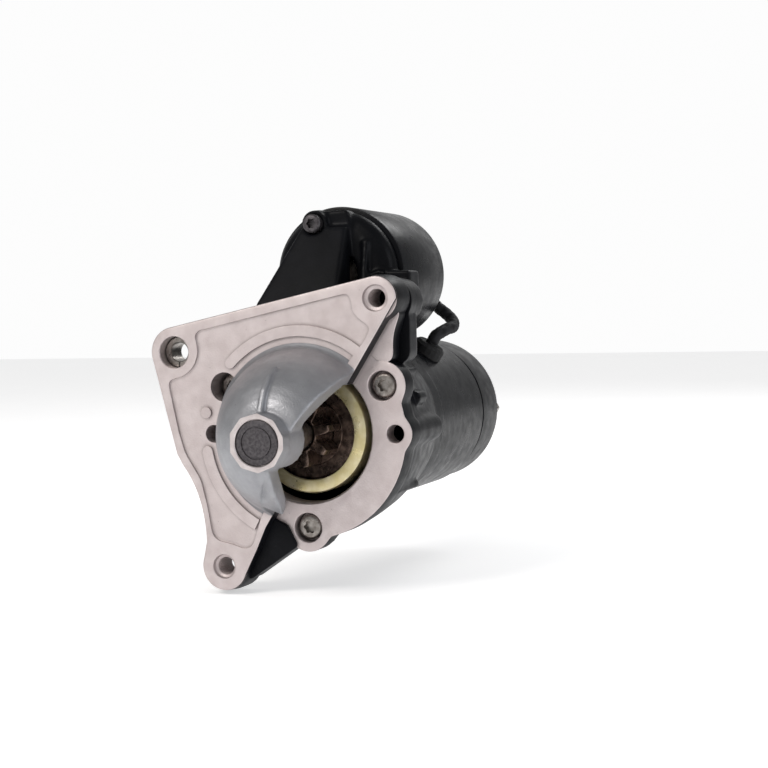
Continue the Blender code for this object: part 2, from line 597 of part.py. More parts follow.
def rear_cover():
    outer = [(0, COVER_BACK), (9.0, COVER_BACK), (9.0, 200.2), (COVER_R - 4.0, 200.2)]
    outer += [(COVER_R - 1.2, 199.0), (COVER_R, 196.0), (COVER_R, YOKE_BACK), (COVER_R - 2.4, YOKE_BACK)]
    inner = [(COVER_R - 2.4, 194.0), (COVER_R - 4.5, 195.2), (9.9, 195.2), (9.9, 186.0), (8.0, 186.0)]
    inner += [(8.0, 199.6), (0, 199.6)]
    cover = turned("rear_cover", outer + inner, "black_casting", steps=40)
    for i, angle in enumerate(THROUGH_BOLT_ANGLES):
        x, z = polar(THROUGH_BOLT_ORBIT, angle)
        cut(cover, hole(f"bolt_way_{i}", x, z, THROUGH_BOLT_R + GAP, 190.0, 205.0, 12))
        cut(cover, hole(f"bolt_seat_{i}", x, z, 5.4, 198.6, 205.0, 14))
    turned("rear_bush", tube_profile(7.7, 5.7, 186.5, 198.0), "bronze", steps=18)


def through_bolts():
    for i, angle in enumerate(THROUGH_BOLT_ANGLES):
        x, z = polar(THROUGH_BOLT_ORBIT, angle)
        bolt = prism(f"through_bolt_{i + 1}", hexagon(x, z, 8.0), 198.9, 203.4, "steel")
        shank = rod_profile(THROUGH_BOLT_R, 80.0, 200.0)
        add(bolt, turned(f"bolt_shank_{i}", shank, at=(x, z), steps=12))


# ---- solenoid --------------------------------------------------------------------------------
def solenoid():
    z = SOL_Z
    can = [(SOL_R, SOL_FRONT), (SOL_R, SOL_BACK), (SOL_R - 2.2, SOL_BACK)]
    can += [(SOL_R - 2.2, SOL_FRONT + 3.2), (12.2, SOL_FRONT + 3.2), (12.2, SOL_FRONT)]
    body = turned("solenoid_can", can, "black_paint", at=(0, z), steps=40)
    for i, angle in enumerate(SOL_SCREW_ANGLES):
        x, up = polar(SOL_SCREW_R, angle)
        cut(body, hole(f"can_hole_{i}", x, z + up, 2.8, 50.0, 62.0, 12))
        socket_screw(f"solenoid_screw_{i + 1}", x, z + up, 38.9, 4.6, 4.6, 2.4, 17.5)
    turned("coil", tube_profile(26.0, 15.6, 64.0, 112.0), "copper", at=(0, z), steps=24)
    bobbin = [(31.0, 62.0), (31.0, 63.6), (15.2, 63.6), (15.2, 112.4), (31.0, 112.4), (31.0, 114.0)]
    bobbin += [(12.6, 114.0), (12.6, 62.0)]
    turned("coil_bobbin", bobbin, "black_plastic", at=(0, z), steps=20)
    core = [(9.2, CORE_FRONT), (11.8, CORE_FRONT), (11.8, 114.6), (31.2, 114.6), (31.2, 119.4)]
    core += [(3.4, 119.4), (3.4, CORE_SEAT), (9.2, CORE_SEAT)]
    turned("fixed_core", core, "steel", at=(0, z), steps=20)
    cap = [(31.4, 119.8), (31.4, SOL_BACK + GAP), (30.4, 124.0), (28.0, CAP_BACK), (0, CAP_BACK)]
    cap += [(0, 132.0), (25.5, 132.0), (25.5, 119.8)]
    end = turned("solenoid_end_cap", cap, "black_plastic", at=(0, z), steps=30)
    for name, x, up in (("battery", -13.0, 8.0), ("motor", 13.0, -10.0)):
        cut(end, hole(f"{name}_way", x, z + up, 4.3, 125.0, 140.0, 14))
        rod = [(0, 127.0), (7.0, 127.0), (7.0, 130.0), (4.0, 130.0), (4.0, 152.0), (0, 152.0)]
        turned(f"{name}_stud", rod, "copper", at=(x, z + up), steps=14)
        foot = CAP_BACK + GAP + 3.3 * (name == "motor")
        nut = prism(f"{name}_nut", hexagon(x, z + up, 13.0), foot, CAP_BACK + 9.5, "steel")
        cut(nut, hole(f"{name}_nut_bore", x, z + up, 4.3, 130.0, 155.0, 14))
    block("trigger_terminal", (-1.0, 1.0), (133.0, 147.0), (z - 24.0, z - 17.0), "steel")
    blade_way = block("blade_way", (-1.4, 1.4), (125.0, 140.0), (z - 24.4, z - 16.6))
    cut(end, blade_way)


def plunger_parts():
    z = SOL_Z
    rear = PLUNGER_REAR
    body = [(0, 52.0), (PLUNGER_R, 52.0), (PLUNGER_R, rear), (9.3, rear)]
    body += [(9.3, rear - 4.0), (0, rear - 4.0)]
    turned("plunger", body, "steel", at=(0, z), steps=20)
    hook = block("plunger_hook", (-7.0, 7.0), (36.3, 51.7), (z - 3.0, z + 3.6), "steel")
    cut(hook, block("hook_slot", (-3.7, 3.7), (37.9, 47.8), (z - 6.0, z + 6.0)))
    bridge = turned("contact_bridge", rod_profile(2.6, 95.2, 123.0), "steel", at=(0, z), steps=12)
    corners = [(17.5, z + 12.0), (-17.5, z + 12.0), (-17.5, z - 12.0), (17.5, z - 12.0)]
    add(bridge, prism("contact_plate", corners, 121.5, 124.3))


def swept(name, points, radius, paint, sides=2):
    """A round wire or cable along a row of points."""
    curve = bpy.data.curves.new(name, "CURVE")
    curve.dimensions = "3D"
    curve.bevel_depth = radius * MM
    curve.bevel_resolution = sides
    curve.use_fill_caps = True
    line = curve.splines.new("POLY")
    line.points.add(len(points) - 1)
    for spot, (x, y, z) in zip(line.points, points):
        spot.co = (x * MM, y * MM, z * MM, 1.0)
    curve.materials.append(MATERIALS[paint])
    made = bpy.data.objects.new(name, curve)
    bpy.context.scene.collection.objects.link(made)
    return made


def smooth_line(knots, steps):
    """Points along a smooth curve that passes through every knot."""
    ends = [2 * Vector(knots[0]) - Vector(knots[1])] + [Vector(k) for k in knots]
    ends.append(2 * Vector(knots[-1]) - Vector(knots[-2]))
    line = []
    for a, b, c, d in zip(ends, ends[1:], ends[2:], ends[3:]):
        for i in range(steps):
            t = i / steps
            bend = (2 * a - 5 * b + 4 * c - d) * t * t
            line.append(0.5 * (2 * b + (c - a) * t + bend + (3 * b - a - 3 * c + d) * t ** 3))
    return line + [ends[-2]]


def return_spring():
    """The coil spring that pushes the plunger forward, from its rear recess to the fixed core."""
    wire, radius, turns, per_turn = 0.7, 7.9, 5, 10
    start, end = PLUNGER_REAR - 4.0 + wire + GAP, CORE_SEAT - wire - GAP
    line = []
    for i in range(turns * per_turn + 1):
        angle = 2 * pi * i / per_turn
        along = start + (end - start) * i / (turns * per_turn)
        line.append((radius * cos(angle), along, SOL_Z + radius * sin(angle)))
    swept("return_spring", line, wire, "steel", 0)


def lead_out(radius):
    """A point on the grommet's own line, at a distance from the motor's axis."""
    x, z = polar(radius, LEAD_ANGLE)
    return (x, LEAD_Y, z)


def motor_lead():
    """The braided lead from the solenoid's rear stud down to the yoke, with its eye and grommet."""
    route = [(21.5, 147.3, 58.5), (26.5, 146.8, 54.8), (31.0, 143.5, 51.0), (32.8, 137.5, 48.0)]
    route += [(31.8, 130.5, 47.0), lead_out(52.0), lead_out(48.5), lead_out(45.0), lead_out(39.0)]
    swept("motor_lead", smooth_line(route, 4), LEAD_R, "rubber", 3)
    place = (13.0, SOL_Z - 10.0)
    eye = turned("lead_eye", tube_profile(7.5, 4.35, 145.8, 148.8), "copper", at=place, steps=14)
    ahead, aside = Vector((0.75, -0.66)), Vector((0.66, 0.75))
    corners = ((5.5, 3.2), (10.7, 3.2), (10.7, -3.2), (5.5, -3.2))
    neck = [Vector(place) + ahead * a + aside * b for a, b in corners]
    add(eye, prism("eye_neck", neck, 146.0, 148.6))
    flange = [(LEAD_R + GAP, 38.2), (5.0, 38.2), (5.0, YOKE_R - 2.0), (8.6, YOKE_R - 2.0)]
    flange += [(8.6, YOKE_R + 4.5), (7.0, YOKE_R + 6.0), (LEAD_R + GAP, YOKE_R + 6.0)]
    flange.reverse()
    grommet = turned("lead_grommet", flange, "rubber", at=(0.0, LEAD_Y), steps=18, axis="Z")
    grommet.data.transform(Matrix.Rotation(radians(90 - LEAD_ANGLE), 4, "Y"))
    skin = turned("yoke_skin", tube_profile(YOKE_R + 0.25, 38.2, LEAD_Y - 20, LEAD_Y + 20), steps=40)
    way = turned("skin_way", rod_profile(5.05, 30.0, 50.0), at=(0.0, LEAD_Y), steps=18, axis="Z")
    way.data.transform(Matrix.Rotation(radians(90 - LEAD_ANGLE), 4, "Y"))
    cut(skin, way)
    cut(grommet, skin)


def build():
    clear_scene()
    make_materials()
    drive_end_housing()
    nose_parts()
    housing_screws()
    intermediate_housing()
    output_shaft()
    pinion()
    clutch()
    shift_fork()
    reduction_gear()
    armature()
    yoke()
    brush_gear()
    rear_cover()
    through_bolts()
    solenoid()
    plunger_parts()
    return_spring()
    motor_lead()


build()
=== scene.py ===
"""Looks for the starter motor: the visible pieces, their finishes, the floor, lights and camera.

All sizes in the shaping functions are millimetres in the motor's own frame: the origin on the
motor's axis in the mounting face, +Y to the rear cover, +X right seen from the nose, +Z up.
"""
import json
from math import cos, pi, radians, sin, sqrt

import bpy
from mathutils import Matrix, Vector


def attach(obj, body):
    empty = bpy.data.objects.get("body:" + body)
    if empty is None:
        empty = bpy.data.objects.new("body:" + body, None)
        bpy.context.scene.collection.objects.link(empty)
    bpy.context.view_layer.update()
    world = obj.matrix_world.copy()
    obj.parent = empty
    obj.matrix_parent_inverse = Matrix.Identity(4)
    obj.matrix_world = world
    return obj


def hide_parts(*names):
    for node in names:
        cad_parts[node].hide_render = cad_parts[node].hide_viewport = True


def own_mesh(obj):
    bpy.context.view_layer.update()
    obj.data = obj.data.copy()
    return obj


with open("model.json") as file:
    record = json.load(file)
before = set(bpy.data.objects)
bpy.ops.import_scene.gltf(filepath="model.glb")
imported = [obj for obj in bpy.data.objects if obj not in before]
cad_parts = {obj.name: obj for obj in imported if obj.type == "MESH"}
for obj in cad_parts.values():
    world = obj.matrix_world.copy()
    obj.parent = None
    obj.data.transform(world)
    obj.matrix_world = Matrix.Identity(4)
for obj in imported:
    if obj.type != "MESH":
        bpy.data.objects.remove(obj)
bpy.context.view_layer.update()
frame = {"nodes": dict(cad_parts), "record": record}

MM = 0.001
SAME = 2e-6                       # metres: points closer than this are one point

# ---- sizes that several pieces share ----------------------------------------------------------
# Each ear is an x, a z and the radius of its round end.
EARS = {"right": (39.3, 63.3, 10.2), "left": (-64.9, 39.4, 12.2), "low": (-40.7, -63.8, 11.6)}
RIM_FACE = 8.0                    # the round rim's front; the ears' front is the mounting face
FLANGE_BACK = 18.0
WINDOW_ANGLE = radians(-32.3)     # the way that the nose is open
WINDOW_CUT = 8.0                  # from the motor's axis to the flat cut of that opening
BOLT_CIRCLE = 45.0                # radius of the circle of screws and dowel holes
SCREWS = (30.0, 270.0, 150.0)     # degrees around the axis, from +X towards +Z
DOWELS = (0.0, 180.0)
RIM_R = 50.3
WINDOW_R = 33.2
NOSE_TIP = -48.7
SOL_Z = 76.0                      # height of the solenoid's axis
SOL_R = 33.8
SOL_SCREW_R = 26.2
SOL_SCREWS = (107.7, -12.3, 227.7)
LONG_BOLT_R = 35.0                # the two bolts that run the length of the motor
LONG_BOLTS = (0.0, 180.0)
THREAD_PITCH = 1.25
YOKE_R = 41.0
YOKE_BACK = 165.0
COVER_R = 40.0
# Each terminal is an x and a z.
STUDS = {"battery": (-13.0, SOL_Z + 8.0), "motor": (13.0, SOL_Z - 10.0)}
LEAD_ANGLE = 57.0                 # where the lead goes into the motor tube
LEAD_Y = 122.0


# ---- materials --------------------------------------------------------------------------------
def colour(text):
    """An sRGB hex colour as the linear colour that a shader takes."""
    parts = [int(text[i:i + 2], 16) / 255 for i in (1, 3, 5)]
    linear = [p / 12.92 if p <= 0.04045 else ((p + 0.055) / 1.055) ** 2.4 for p in parts]
    return (*linear, 1.0)


def node(tree, kind, sockets=None, **settings):
    """Add a node: settings go on the node, and each socket gets a value or a link."""
    made = tree.nodes.new("ShaderNode" + kind)
    for name, value in settings.items():
        setattr(made, name, value)
    for name, value in (sockets or {}).items():
        if isinstance(value, bpy.types.NodeSocket):
            tree.links.new(value, made.inputs[name])
        else:
            made.inputs[name].default_value = value
    return made


def start(name, roughness, metallic, specular=0.5):
    """A new material with its own shader, and the place on the object that its patterns use."""
    made = bpy.data.materials.new(name)
    made.use_nodes = True
    tree = made.node_tree
    shader = tree.nodes["Principled BSDF"]
    shader.inputs["Roughness"].default_value = roughness
    shader.inputs["Metallic"].default_value = metallic
    shader.inputs["Specular IOR Level"].default_value = specular
    place = node(tree, "TexCoord").outputs["Object"]
    return made, tree, shader, place


def per_mm(size):
    """The scale of a pattern on Object coordinates whose marks are this many mm across."""
    return 1.0 / (size * MM)


def grain(tree, place, size, low, high, out_low=0.0, out_high=1.0, detail=3.0):
    """A soft random pattern of marks of one size, spread between two values."""
    noise = node(tree, "TexNoise", {"Vector": place, "Scale": per_mm(size), "Detail": detail})
    spread = {"Value": noise.outputs["Fac"], "From Min": low, "From Max": high,
              "To Min": out_low, "To Max": out_high}
    return node(tree, "MapRange", spread).outputs["Result"]


def wave_scale(spacing):
    """The scale of a Wave node's bands or rings that are this many mm apart."""
    return 2 * pi / (20 * spacing * MM)


def blend_colours(tree, factor, first, second):
    """The first colour where the pattern is 0, and the second where it is 1."""
    settings = {0: factor, 6: first, 7: second}
    return node(tree, "Mix", settings, data_type="RGBA").outputs[2]


def relief(tree, shader, height, depth, normal=None):
    """Raise the surface by a pattern; depth is in millimetres."""
    sockets = {"Height": height, "Distance": depth * MM, "Strength": 1.0}
    if normal is not None:
        sockets["Normal"] = normal
    tree.links.new(node(tree, "Bump", sockets).outputs["Normal"], shader.inputs["Normal"])


def die_cast(name, light, dark, pore_and_shade, roughness, grit):
    """Die-cast aluminium, blasted after casting: even fine grit, soft mottling, a few dark pores.

    Shade is painted into the inner corners, which an ambient-occlusion mask darkens towards the
    pore colour, and the outer edges are eased.
    """
    corner_reach, edge_radius, grit_depth = 1.8, 0.45, 0.05
    made, tree, shader, place = start(name, roughness, 0.75)
    mottle = grain(tree, place, 9.0, 0.35, 0.65)
    base = blend_colours(tree, mottle, colour(light), colour(dark))
    pores = grain(tree, place, 1.3, 0.70, 0.78, detail=5.0)
    base = blend_colours(tree, pores, base, colour(pore_and_shade))
    # Painted shade: the ambient-occlusion mask darkens the inner corners towards the same dark
    # colour as the pores.
    corner = node(tree, "AmbientOcclusion", {"Distance": corner_reach * MM}, samples=6)
    spread = {"Value": corner.outputs["AO"], "From Min": 0.45, "From Max": 0.95,
              "To Min": 0.8, "To Max": 0.0}
    corner_shade = node(tree, "MapRange", spread).outputs["Result"]
    base = blend_colours(tree, corner_shade, base, colour(pore_and_shade))
    tree.links.new(base, shader.inputs["Base Color"])
    rough = grain(tree, place, 3.0, 0.3, 0.7, roughness - 0.06, roughness + 0.08)
    tree.links.new(rough, shader.inputs["Roughness"])
    round_edge = node(tree, "Bevel", {"Radius": edge_radius * MM}, samples=6).outputs["Normal"]
    relief(tree, shader, grain(tree, place, grit, 0.3, 0.7), grit_depth, round_edge)
    return made


def machined(name, light, dark, roughness):
    """Turned metal: shallow rings around the motor's axis 3.5 mm apart, and a crisp, bright skin.

    The cutter's own marks are finer than that, and too fine to show.
    """
    made, tree, shader, place = start(name, roughness, 0.9)
    pattern = {"Vector": place, "Scale": wave_scale(3.4558), "Distortion": 0.6}
    rings = node(tree, "TexWave", pattern, wave_type="RINGS", rings_direction="Y")
    base = blend_colours(tree, grain(tree, place, 4.0, 0.3, 0.7), colour(light), colour(dark))
    tree.links.new(base, shader.inputs["Base Color"])
    relief(tree, shader, rings.outputs["Fac"], 0.012)
    return made


def satin_paint(name, base, worn, roughness, peel):
    """Satin black enamel, sprayed: a slight orange peel and faint duller patches.

    Its film is thin and a little oily, so it reflects less than a glossy paint does.
    """
    weak_shine, peel_depth = 0.09, 0.03
    made, tree, shader, place = start(name, roughness, 0.0, weak_shine)
    patch = grain(tree, place, 14.0, 0.4, 0.75)
    mixed = blend_colours(tree, patch, colour(base), colour(worn))
    tree.links.new(mixed, shader.inputs["Base Color"])
    rough = grain(tree, place, 6.0, 0.3, 0.7, roughness - 0.05, roughness + 0.1)
    tree.links.new(rough, shader.inputs["Roughness"])
    relief(tree, shader, grain(tree, place, peel, 0.25, 0.75), peel_depth)
    return made


def plain_metal(name, light, dark, roughness, mark=2.0, metallic=1.0):
    """Drawn, pressed or plated metal: small changes of tone and gloss from handling and oil."""
    skin_size, skin_depth = 0.5, 0.015
    made, tree, shader, place = start(name, roughness, metallic)
    base = blend_colours(tree, grain(tree, place, mark, 0.35, 0.65), colour(light), colour(dark))
    tree.links.new(base, shader.inputs["Base Color"])
    rough = grain(tree, place, mark * 1.7, 0.3, 0.7, roughness - 0.07, roughness + 0.12)
    tree.links.new(rough, shader.inputs["Roughness"])
    relief(tree, shader, grain(tree, place, skin_size, 0.3, 0.7), skin_depth)
    return made


def moulded(name, base, second, roughness, mark, depth):
    """Moulded nylon, rubber or pressed ferrite and carbon: a dull skin with a fine grain."""
    made, tree, shader, place = start(name, roughness, 0.0, 0.4)
    tone = grain(tree, place, 5.0, 0.35, 0.65)
    mixed = blend_colours(tree, tone, colour(base), colour(second))
    tree.links.new(mixed, shader.inputs["Base Color"])
    relief(tree, shader, grain(tree, place, mark, 0.3, 0.7), depth)
    return made


def wound_copper():
    """Enamelled copper wire laid in turns: ridges along the axis, coarser than the wire is."""
    ridge_spacing, ridge_depth = 6.283, 0.3
    made, tree, shader, place = start("enamelled_copper_wire", 0.35, 0.9)
    pattern = {"Vector": place, "Scale": wave_scale(ridge_spacing), "Distortion": 0.3}
    turns = node(tree, "TexWave", pattern, wave_type="BANDS", bands_direction="Y").outputs["Fac"]
    # Painted shade: the grooves between turns are dark brown and the crests bright copper,
    # following the same bands as the relief.
    base = blend_colours(tree, turns, colour("#5a2a16"), colour("#b0623a"))
    tree.links.new(base, shader.inputs["Base Color"])
    relief(tree, shader, turns, ridge_depth)
    return made


def woven_sleeve():
    """Black glass-fibre sleeve over the copper braid: crossed diagonal bands 5 mm apart.

    The real weave is finer, and is drawn as coarse as it needs to show.
    """
    weave_depth = 0.35
    made, tree, shader, _ = start("woven_black_sleeve", 0.7, 0.0, 0.3)
    along = node(tree, "TexCoord").outputs["UV"]
    first = node(tree, "TexWave", {"Vector": along, "Scale": 1.0}, bands_direction="DIAGONAL")
    mirrored = node(tree, "Mapping", {"Vector": along, "Scale": (-1.0, 1.0, 1.0)})
    second = node(tree, "TexWave", {"Vector": mirrored.outputs["Vector"], "Scale": 1.0},
                  bands_direction="DIAGONAL")
    both = {0: first.outputs["Fac"], 1: second.outputs["Fac"]}
    weave = node(tree, "Math", both, operation="MAXIMUM").outputs["Value"]
    # Painted shade: the hollows of the weave are coloured darker than its raised bands, following
    # the same pattern as the relief.
    base = blend_colours(tree, weave, colour("#060607"), colour("#1d1d20"))
    tree.links.new(base, shader.inputs["Base Color"])
    relief(tree, shader, weave, weave_depth)
    return made


# A finish has the name of its slot in the record; the nose, its bore, the windings and the lead's
# sleeve have finishes of their own.
FINISH = {
    "cast_aluminium": die_cast("blasted_die_cast_aluminium",
                               "#d2c8c7", "#c6bbba", "#857b7a", 0.5, 0.7),
    "nose_aluminium": die_cast("smooth_die_cast_aluminium",
                               "#a3a4a8", "#98999d", "#7a7a7e", 0.45, 0.9),
    "machined_aluminium": machined("faced_aluminium", "#d8d0cf", "#c5bcbb", 0.34),
    "black_paint": satin_paint("satin_black_on_steel_tube", "#0c0d10", "#121317", 0.3, 1.6),
    "black_casting": satin_paint("satin_black_on_casting", "#0b0c0f", "#131418", 0.36, 0.9),
    "steel": plain_metal("oiled_bright_steel", "#a19c97", "#7d7772", 0.3),
    "dark_steel": plain_metal("oily_hardened_steel", "#75645a", "#40342f", 0.27, 3.0, 0.9),
    "phosphated_steel": plain_metal("phosphated_steel", "#5d5a5c", "#474447", 0.45, 1.2, 0.8),
    "yellow_zinc": plain_metal("yellow_passivated_zinc", "#e2d8b4", "#cfc290", 0.32, 5.0, 0.7),
    "bronze": plain_metal("sintered_bronze", "#9b7440", "#7c5a30", 0.42, 0.8),
    "copper": plain_metal("bare_copper", "#b7714f", "#8f5236", 0.32),
    "winding": wound_copper(),
    "black_plastic": moulded("glass_filled_nylon", "#17171a", "#1d1d20", 0.5, 0.6, 0.03),
    "rubber": moulded("black_rubber", "#0f0f10", "#151516", 0.72, 0.5, 0.05),
    "sleeve": woven_sleeve(),
    "magnet": moulded("pressed_ferrite", "#2b2b2e", "#333337", 0.6, 0.7, 0.04),
    "carbon": moulded("pressed_copper_carbon", "#3a2f2a", "#2a2421", 0.55, 0.6, 0.04),
}


# ---- shaping helpers --------------------------------------------------------------------------
def deselect():
    bpy.ops.object.select_all(action="DESELECT")


def focus(made):
    deselect()
    made.select_set(True)
    bpy.context.view_layer.objects.active = made


def edit_all():
    """Enter edit mode with the whole mesh selected."""
    bpy.ops.object.mode_set(mode="EDIT")
    bpy.ops.mesh.select_all(action="SELECT")


def leave_edit():
    bpy.ops.object.mode_set(mode="OBJECT")


def extrude(x, y, z):
    """Pull what is selected out by so many millimetres."""
    step = {"value": (x * MM, y * MM, z * MM)}
    bpy.ops.mesh.extrude_region_move(TRANSFORM_OT_translate=step)


def row_of_points(name, points, fill):
    """A circle added with one vertex for each point, then laid through the points."""
    deselect()
    bpy.ops.mesh.primitive_circle_add(vertices=len(points), fill_type=fill)
    made = bpy.context.object
    made.name = made.data.name = name
    for vertex, point in zip(made.data.vertices, points):
        vertex.co = Vector(point) * MM
    return made


def close_up(made):
    """Merge what lies together, drop loose edges and turn every face outwards."""
    focus(made)
    edit_all()
    bpy.ops.mesh.remove_doubles(threshold=SAME)
    bpy.ops.mesh.delete_loose()
    bpy.ops.mesh.select_all(action="SELECT")
    bpy.ops.mesh.normals_make_consistent(inside=False)
    leave_edit()
    return made


# The direction of each axis, and the direction that a radius is measured in.
AXES = {"Y": ((0, 1, 0), (1, 0, 0)), "X": ((1, 0, 0), (0, 1, 0)), "Z": ((0, 0, 1), (1, 0, 0))}


def turned(name, profile, at=(0.0, 0.0), steps=96, axis="Y"):
    """Spin a closed profile of (radius, distance along the axis) around a line."""
    along, across = (Vector(v) for v in AXES[axis])
    centre = {"Y": (at[0], 0, at[1]), "X": (0, at[0], at[1]), "Z": (at[0], at[1], 0)}[axis]
    centre = Vector(centre)
    made = row_of_points(name, [centre + across * r + along * y for r, y in profile], "NOTHING")
    edit_all()
    bpy.ops.mesh.spin(steps=steps, angle=2 * pi, center=centre * MM, axis=along)
    leave_edit()
    return close_up(made)


def pick_edges(made, test):
    """Enter edit mode with the edges selected whose two ends pass a test in millimetres."""
    focus(made)
    mesh = made.data
    for item in (*mesh.polygons, *mesh.edges, *mesh.vertices):
        item.select = False
    for edge in mesh.edges:
        edge.select = all(test(mesh.vertices[i].co / MM) for i in edge.vertices)
    bpy.ops.object.mode_set(mode="EDIT")
    bpy.ops.mesh.select_mode(type="EDGE")


def plate(name, outline, low, high, edge=0.0, rounded_end="low"):
    """Extrude a flat outline along Y, with one end's edge rounded by so many millimetres."""
    made = row_of_points(name, [(a, low, b) for a, b in outline], "NGON")
    edit_all()
    extrude(0, high - low, 0)
    leave_edit()
    close_up(made)
    if edge:
        end = low if rounded_end == "low" else high
        pick_edges(made, lambda p: abs(p.y - end) < 1e-3)
        bpy.ops.mesh.bevel(offset=edge * MM, segments=3, affect="EDGES", clamp_overlap=True)
        bpy.ops.mesh.select_mode(type="VERT")
        leave_edit()
    return made


def hull(name, points):
    """The tight skin around a few corner points."""
    made = row_of_points(name, points, "NOTHING")
    edit_all()
    bpy.ops.mesh.convex_hull()
    leave_edit()
    return close_up(made)


def combine(target, tool, operation):
    """Apply a Boolean of one piece on another; the tool is used up."""
    focus(target)
    step = target.modifiers.new("shape", "BOOLEAN")
    step.operation = operation
    step.solver = "EXACT"
    step.object = tool
    bpy.ops.object.modifier_apply(modifier=step.name)
    bpy.data.objects.remove(tool, do_unlink=True)


def add(target, tool):
    combine(target, tool, "UNION")


def cut(target, tool):
    combine(target, tool, "DIFFERENCE")


def cast_skin(made, grid, passes):
    """Give a piece the rounded inner and outer corners of a casting."""
    focus(made)
    skin = made.modifiers.new("skin", "REMESH")
    skin.mode = "VOXEL"
    skin.voxel_size = grid * MM
    bpy.ops.object.modifier_apply(modifier=skin.name)
    ease = made.modifiers.new("ease", "SMOOTH")
    ease.factor = 0.5
    ease.iterations = passes
    bpy.ops.object.modifier_apply(modifier=ease.name)


def done(made, body, finish, nodes=(), sharp=35.0, keep=False):
    """Shade a finished piece, give it its material, tie it to its body, and hide the CAD nodes it
    stands in for.
    """
    focus(made)
    bpy.ops.object.shade_smooth_by_angle(angle=radians(sharp))
    if not keep:
        made.data.materials.clear()
        made.data.materials.append(FINISH[finish])
    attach(made, body)
    if nodes:
        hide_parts(*nodes)
    return made


def hole(x, z, radius, y0, y1, mouth=0.0, steps=32):
    """A drill for a round hole; y0 is 1 mm before the surface, where the mouth is eased."""
    surface = y0 + 1.0
    profile = [(0, y0), (radius + mouth, y0), (radius + mouth, surface)]
    profile += [(radius, surface + mouth), (radius, y1), (0, y1)]
    return turned("drill", profile, at=(x, z), steps=steps)


def arc(cx, cz, radius, start_at, end_at, count):
    """Points (x, z) along an arc between two angles in degrees."""
    turn = [radians(start_at + (end_at - start_at) * i / count) for i in range(count + 1)]
    return [(cx + radius * cos(a), cz + radius * sin(a)) for a in turn]


def bezier(p, q, r, count):
    """The points between p and r on the curve that bends towards q."""
    out = []
    for i in range(1, count):
        t = i / count
        first, second, third = (1 - t) ** 2, 2 * t * (1 - t), t * t
        out.append(tuple(first * a + second * b + third * c for a, b, c in zip(p, q, r)))
    return out


def rounded(points, reach):
    """Round each corner of an outline, starting at most this far from the corner."""
    out = []
    for before, here, after in zip(points[-1:] + points[:-1], points, points[1:] + points[:1]):
        here = Vector(here)
        back, ahead = Vector(before) - here, Vector(after) - here
        start_at = here + back.normalized() * min(reach, back.length * 0.45)
        end_at = here + ahead.normalized() * min(reach, ahead.length * 0.45)
        first, last = tuple(start_at), tuple(end_at)
        out += [first] + bezier(first, tuple(here), last, 6) + [last]
    return out


def polar(radius, angle):
    """The x and z at a radius and an angle in degrees."""
    return radius * cos(radians(angle)), radius * sin(radians(angle))


def window_point(out, along):
    """A point so far out towards the nose's opening, and so far along the opening's edge."""
    across = Vector((cos(WINDOW_ANGLE), sin(WINDOW_ANGLE)))
    line = Vector((-across.y, across.x))
    return tuple(across * out + line * along)


# ---- drive end housing ------------------------------------------------------------------------
def plate_outline():
    """The mounting plate: three round ears, the straight cut at the opening and a waisted side."""
    right, left, low = EARS["right"], EARS["left"], EARS["low"]
    points = arc(*left, 193.4, 101.9, 20)
    points += arc(*right, 101.9, -1.9, 22)
    points += [window_point(WINDOW_CUT, -47.3), window_point(9.6, -59.0)]
    points += arc(*low, -16.6, -198.6, 30)
    knee, waist = (-50.0, -52.0), (-61.5, -15.6)
    points += [knee] + bezier(knee, (-50.5, -30.0), waist, 16) + [waist, (-64.7, -10.0)]
    return points


def rim_outline(shrink=0.0):
    """The round rim with a lobe around each screw and dowel, run together with small fillets."""
    lobes = [(a, 11.6) for a in SCREWS] + [(a, 8.4) for a in DOWELS]
    fillet, points = 3.0, []
    for i in range(240):
        angle = 1.5 * i
        reach = RIM_R
        for middle, radius in lobes:
            side = BOLT_CIRCLE * sin(radians(angle - middle))
            ahead = BOLT_CIRCLE * cos(radians(angle - middle))
            if ahead > 0 and abs(side) < radius:
                lobe = ahead + sqrt(radius ** 2 - side ** 2)
                overlap = max(fillet - abs(lobe - RIM_R), 0.0) / fillet
                reach = max(reach, max(lobe, RIM_R) + overlap ** 2 * fillet / 4)
        points.append(polar(reach - shrink, angle))
    return points


def pocket_outline():
    """The shallow pocket in the mounting face, which follows the plate's outline."""
    x, z, _ = EARS["right"]
    points = [(-48.9, 50.2), (25.4, 65.8), (27.2, 63.0)]
    points += arc(x, z, 12.5, 205, 238, 5)
    points += [(35.6, 50.6), (36.3, 48.6), (33.6, 43.6)]
    points += [window_point(3.5, 44.0), window_point(3.5, -44.0)]
    points += [(-24.0, -49.5), (-25.6, -53.2), (-29.3, -55.2)]
    points += [(-36.5, -52.8), (-43.4, -51.6), (-46.6, -48.6)]
    points += [(-48.9, -35.2), (-52.1, -22.2), (-60.2, -9.3), (-63.5, 1.6), (-68.3, 24.4)]
    points += [(-66.4, 26.4), (-59.6, 27.9), (-54.3, 32.6), (-52.2, 38.0), (-52.4, 42.5),
               (-53.6, 47.2), (-51.5, 49.7)]
    return points


def paint_sides(made, outside=None, top=False):
    """Black enamel on the sides of a plate, the front staying bare unless top is asked for, when
    the front is blackened as painted shade.

    With outside given, only the sides that look that way are painted.
    """
    made.data.materials.append(FINISH["cast_aluminium"])
    made.data.materials.append(FINISH["black_casting"])
    for face in made.data.polygons:
        is_side = abs(face.normal.y) < 0.3
        turned_away = outside is not None and face.normal.dot(Vector(outside)) < 0.5
        if top or (is_side and not turned_away):
            face.material_index = 1


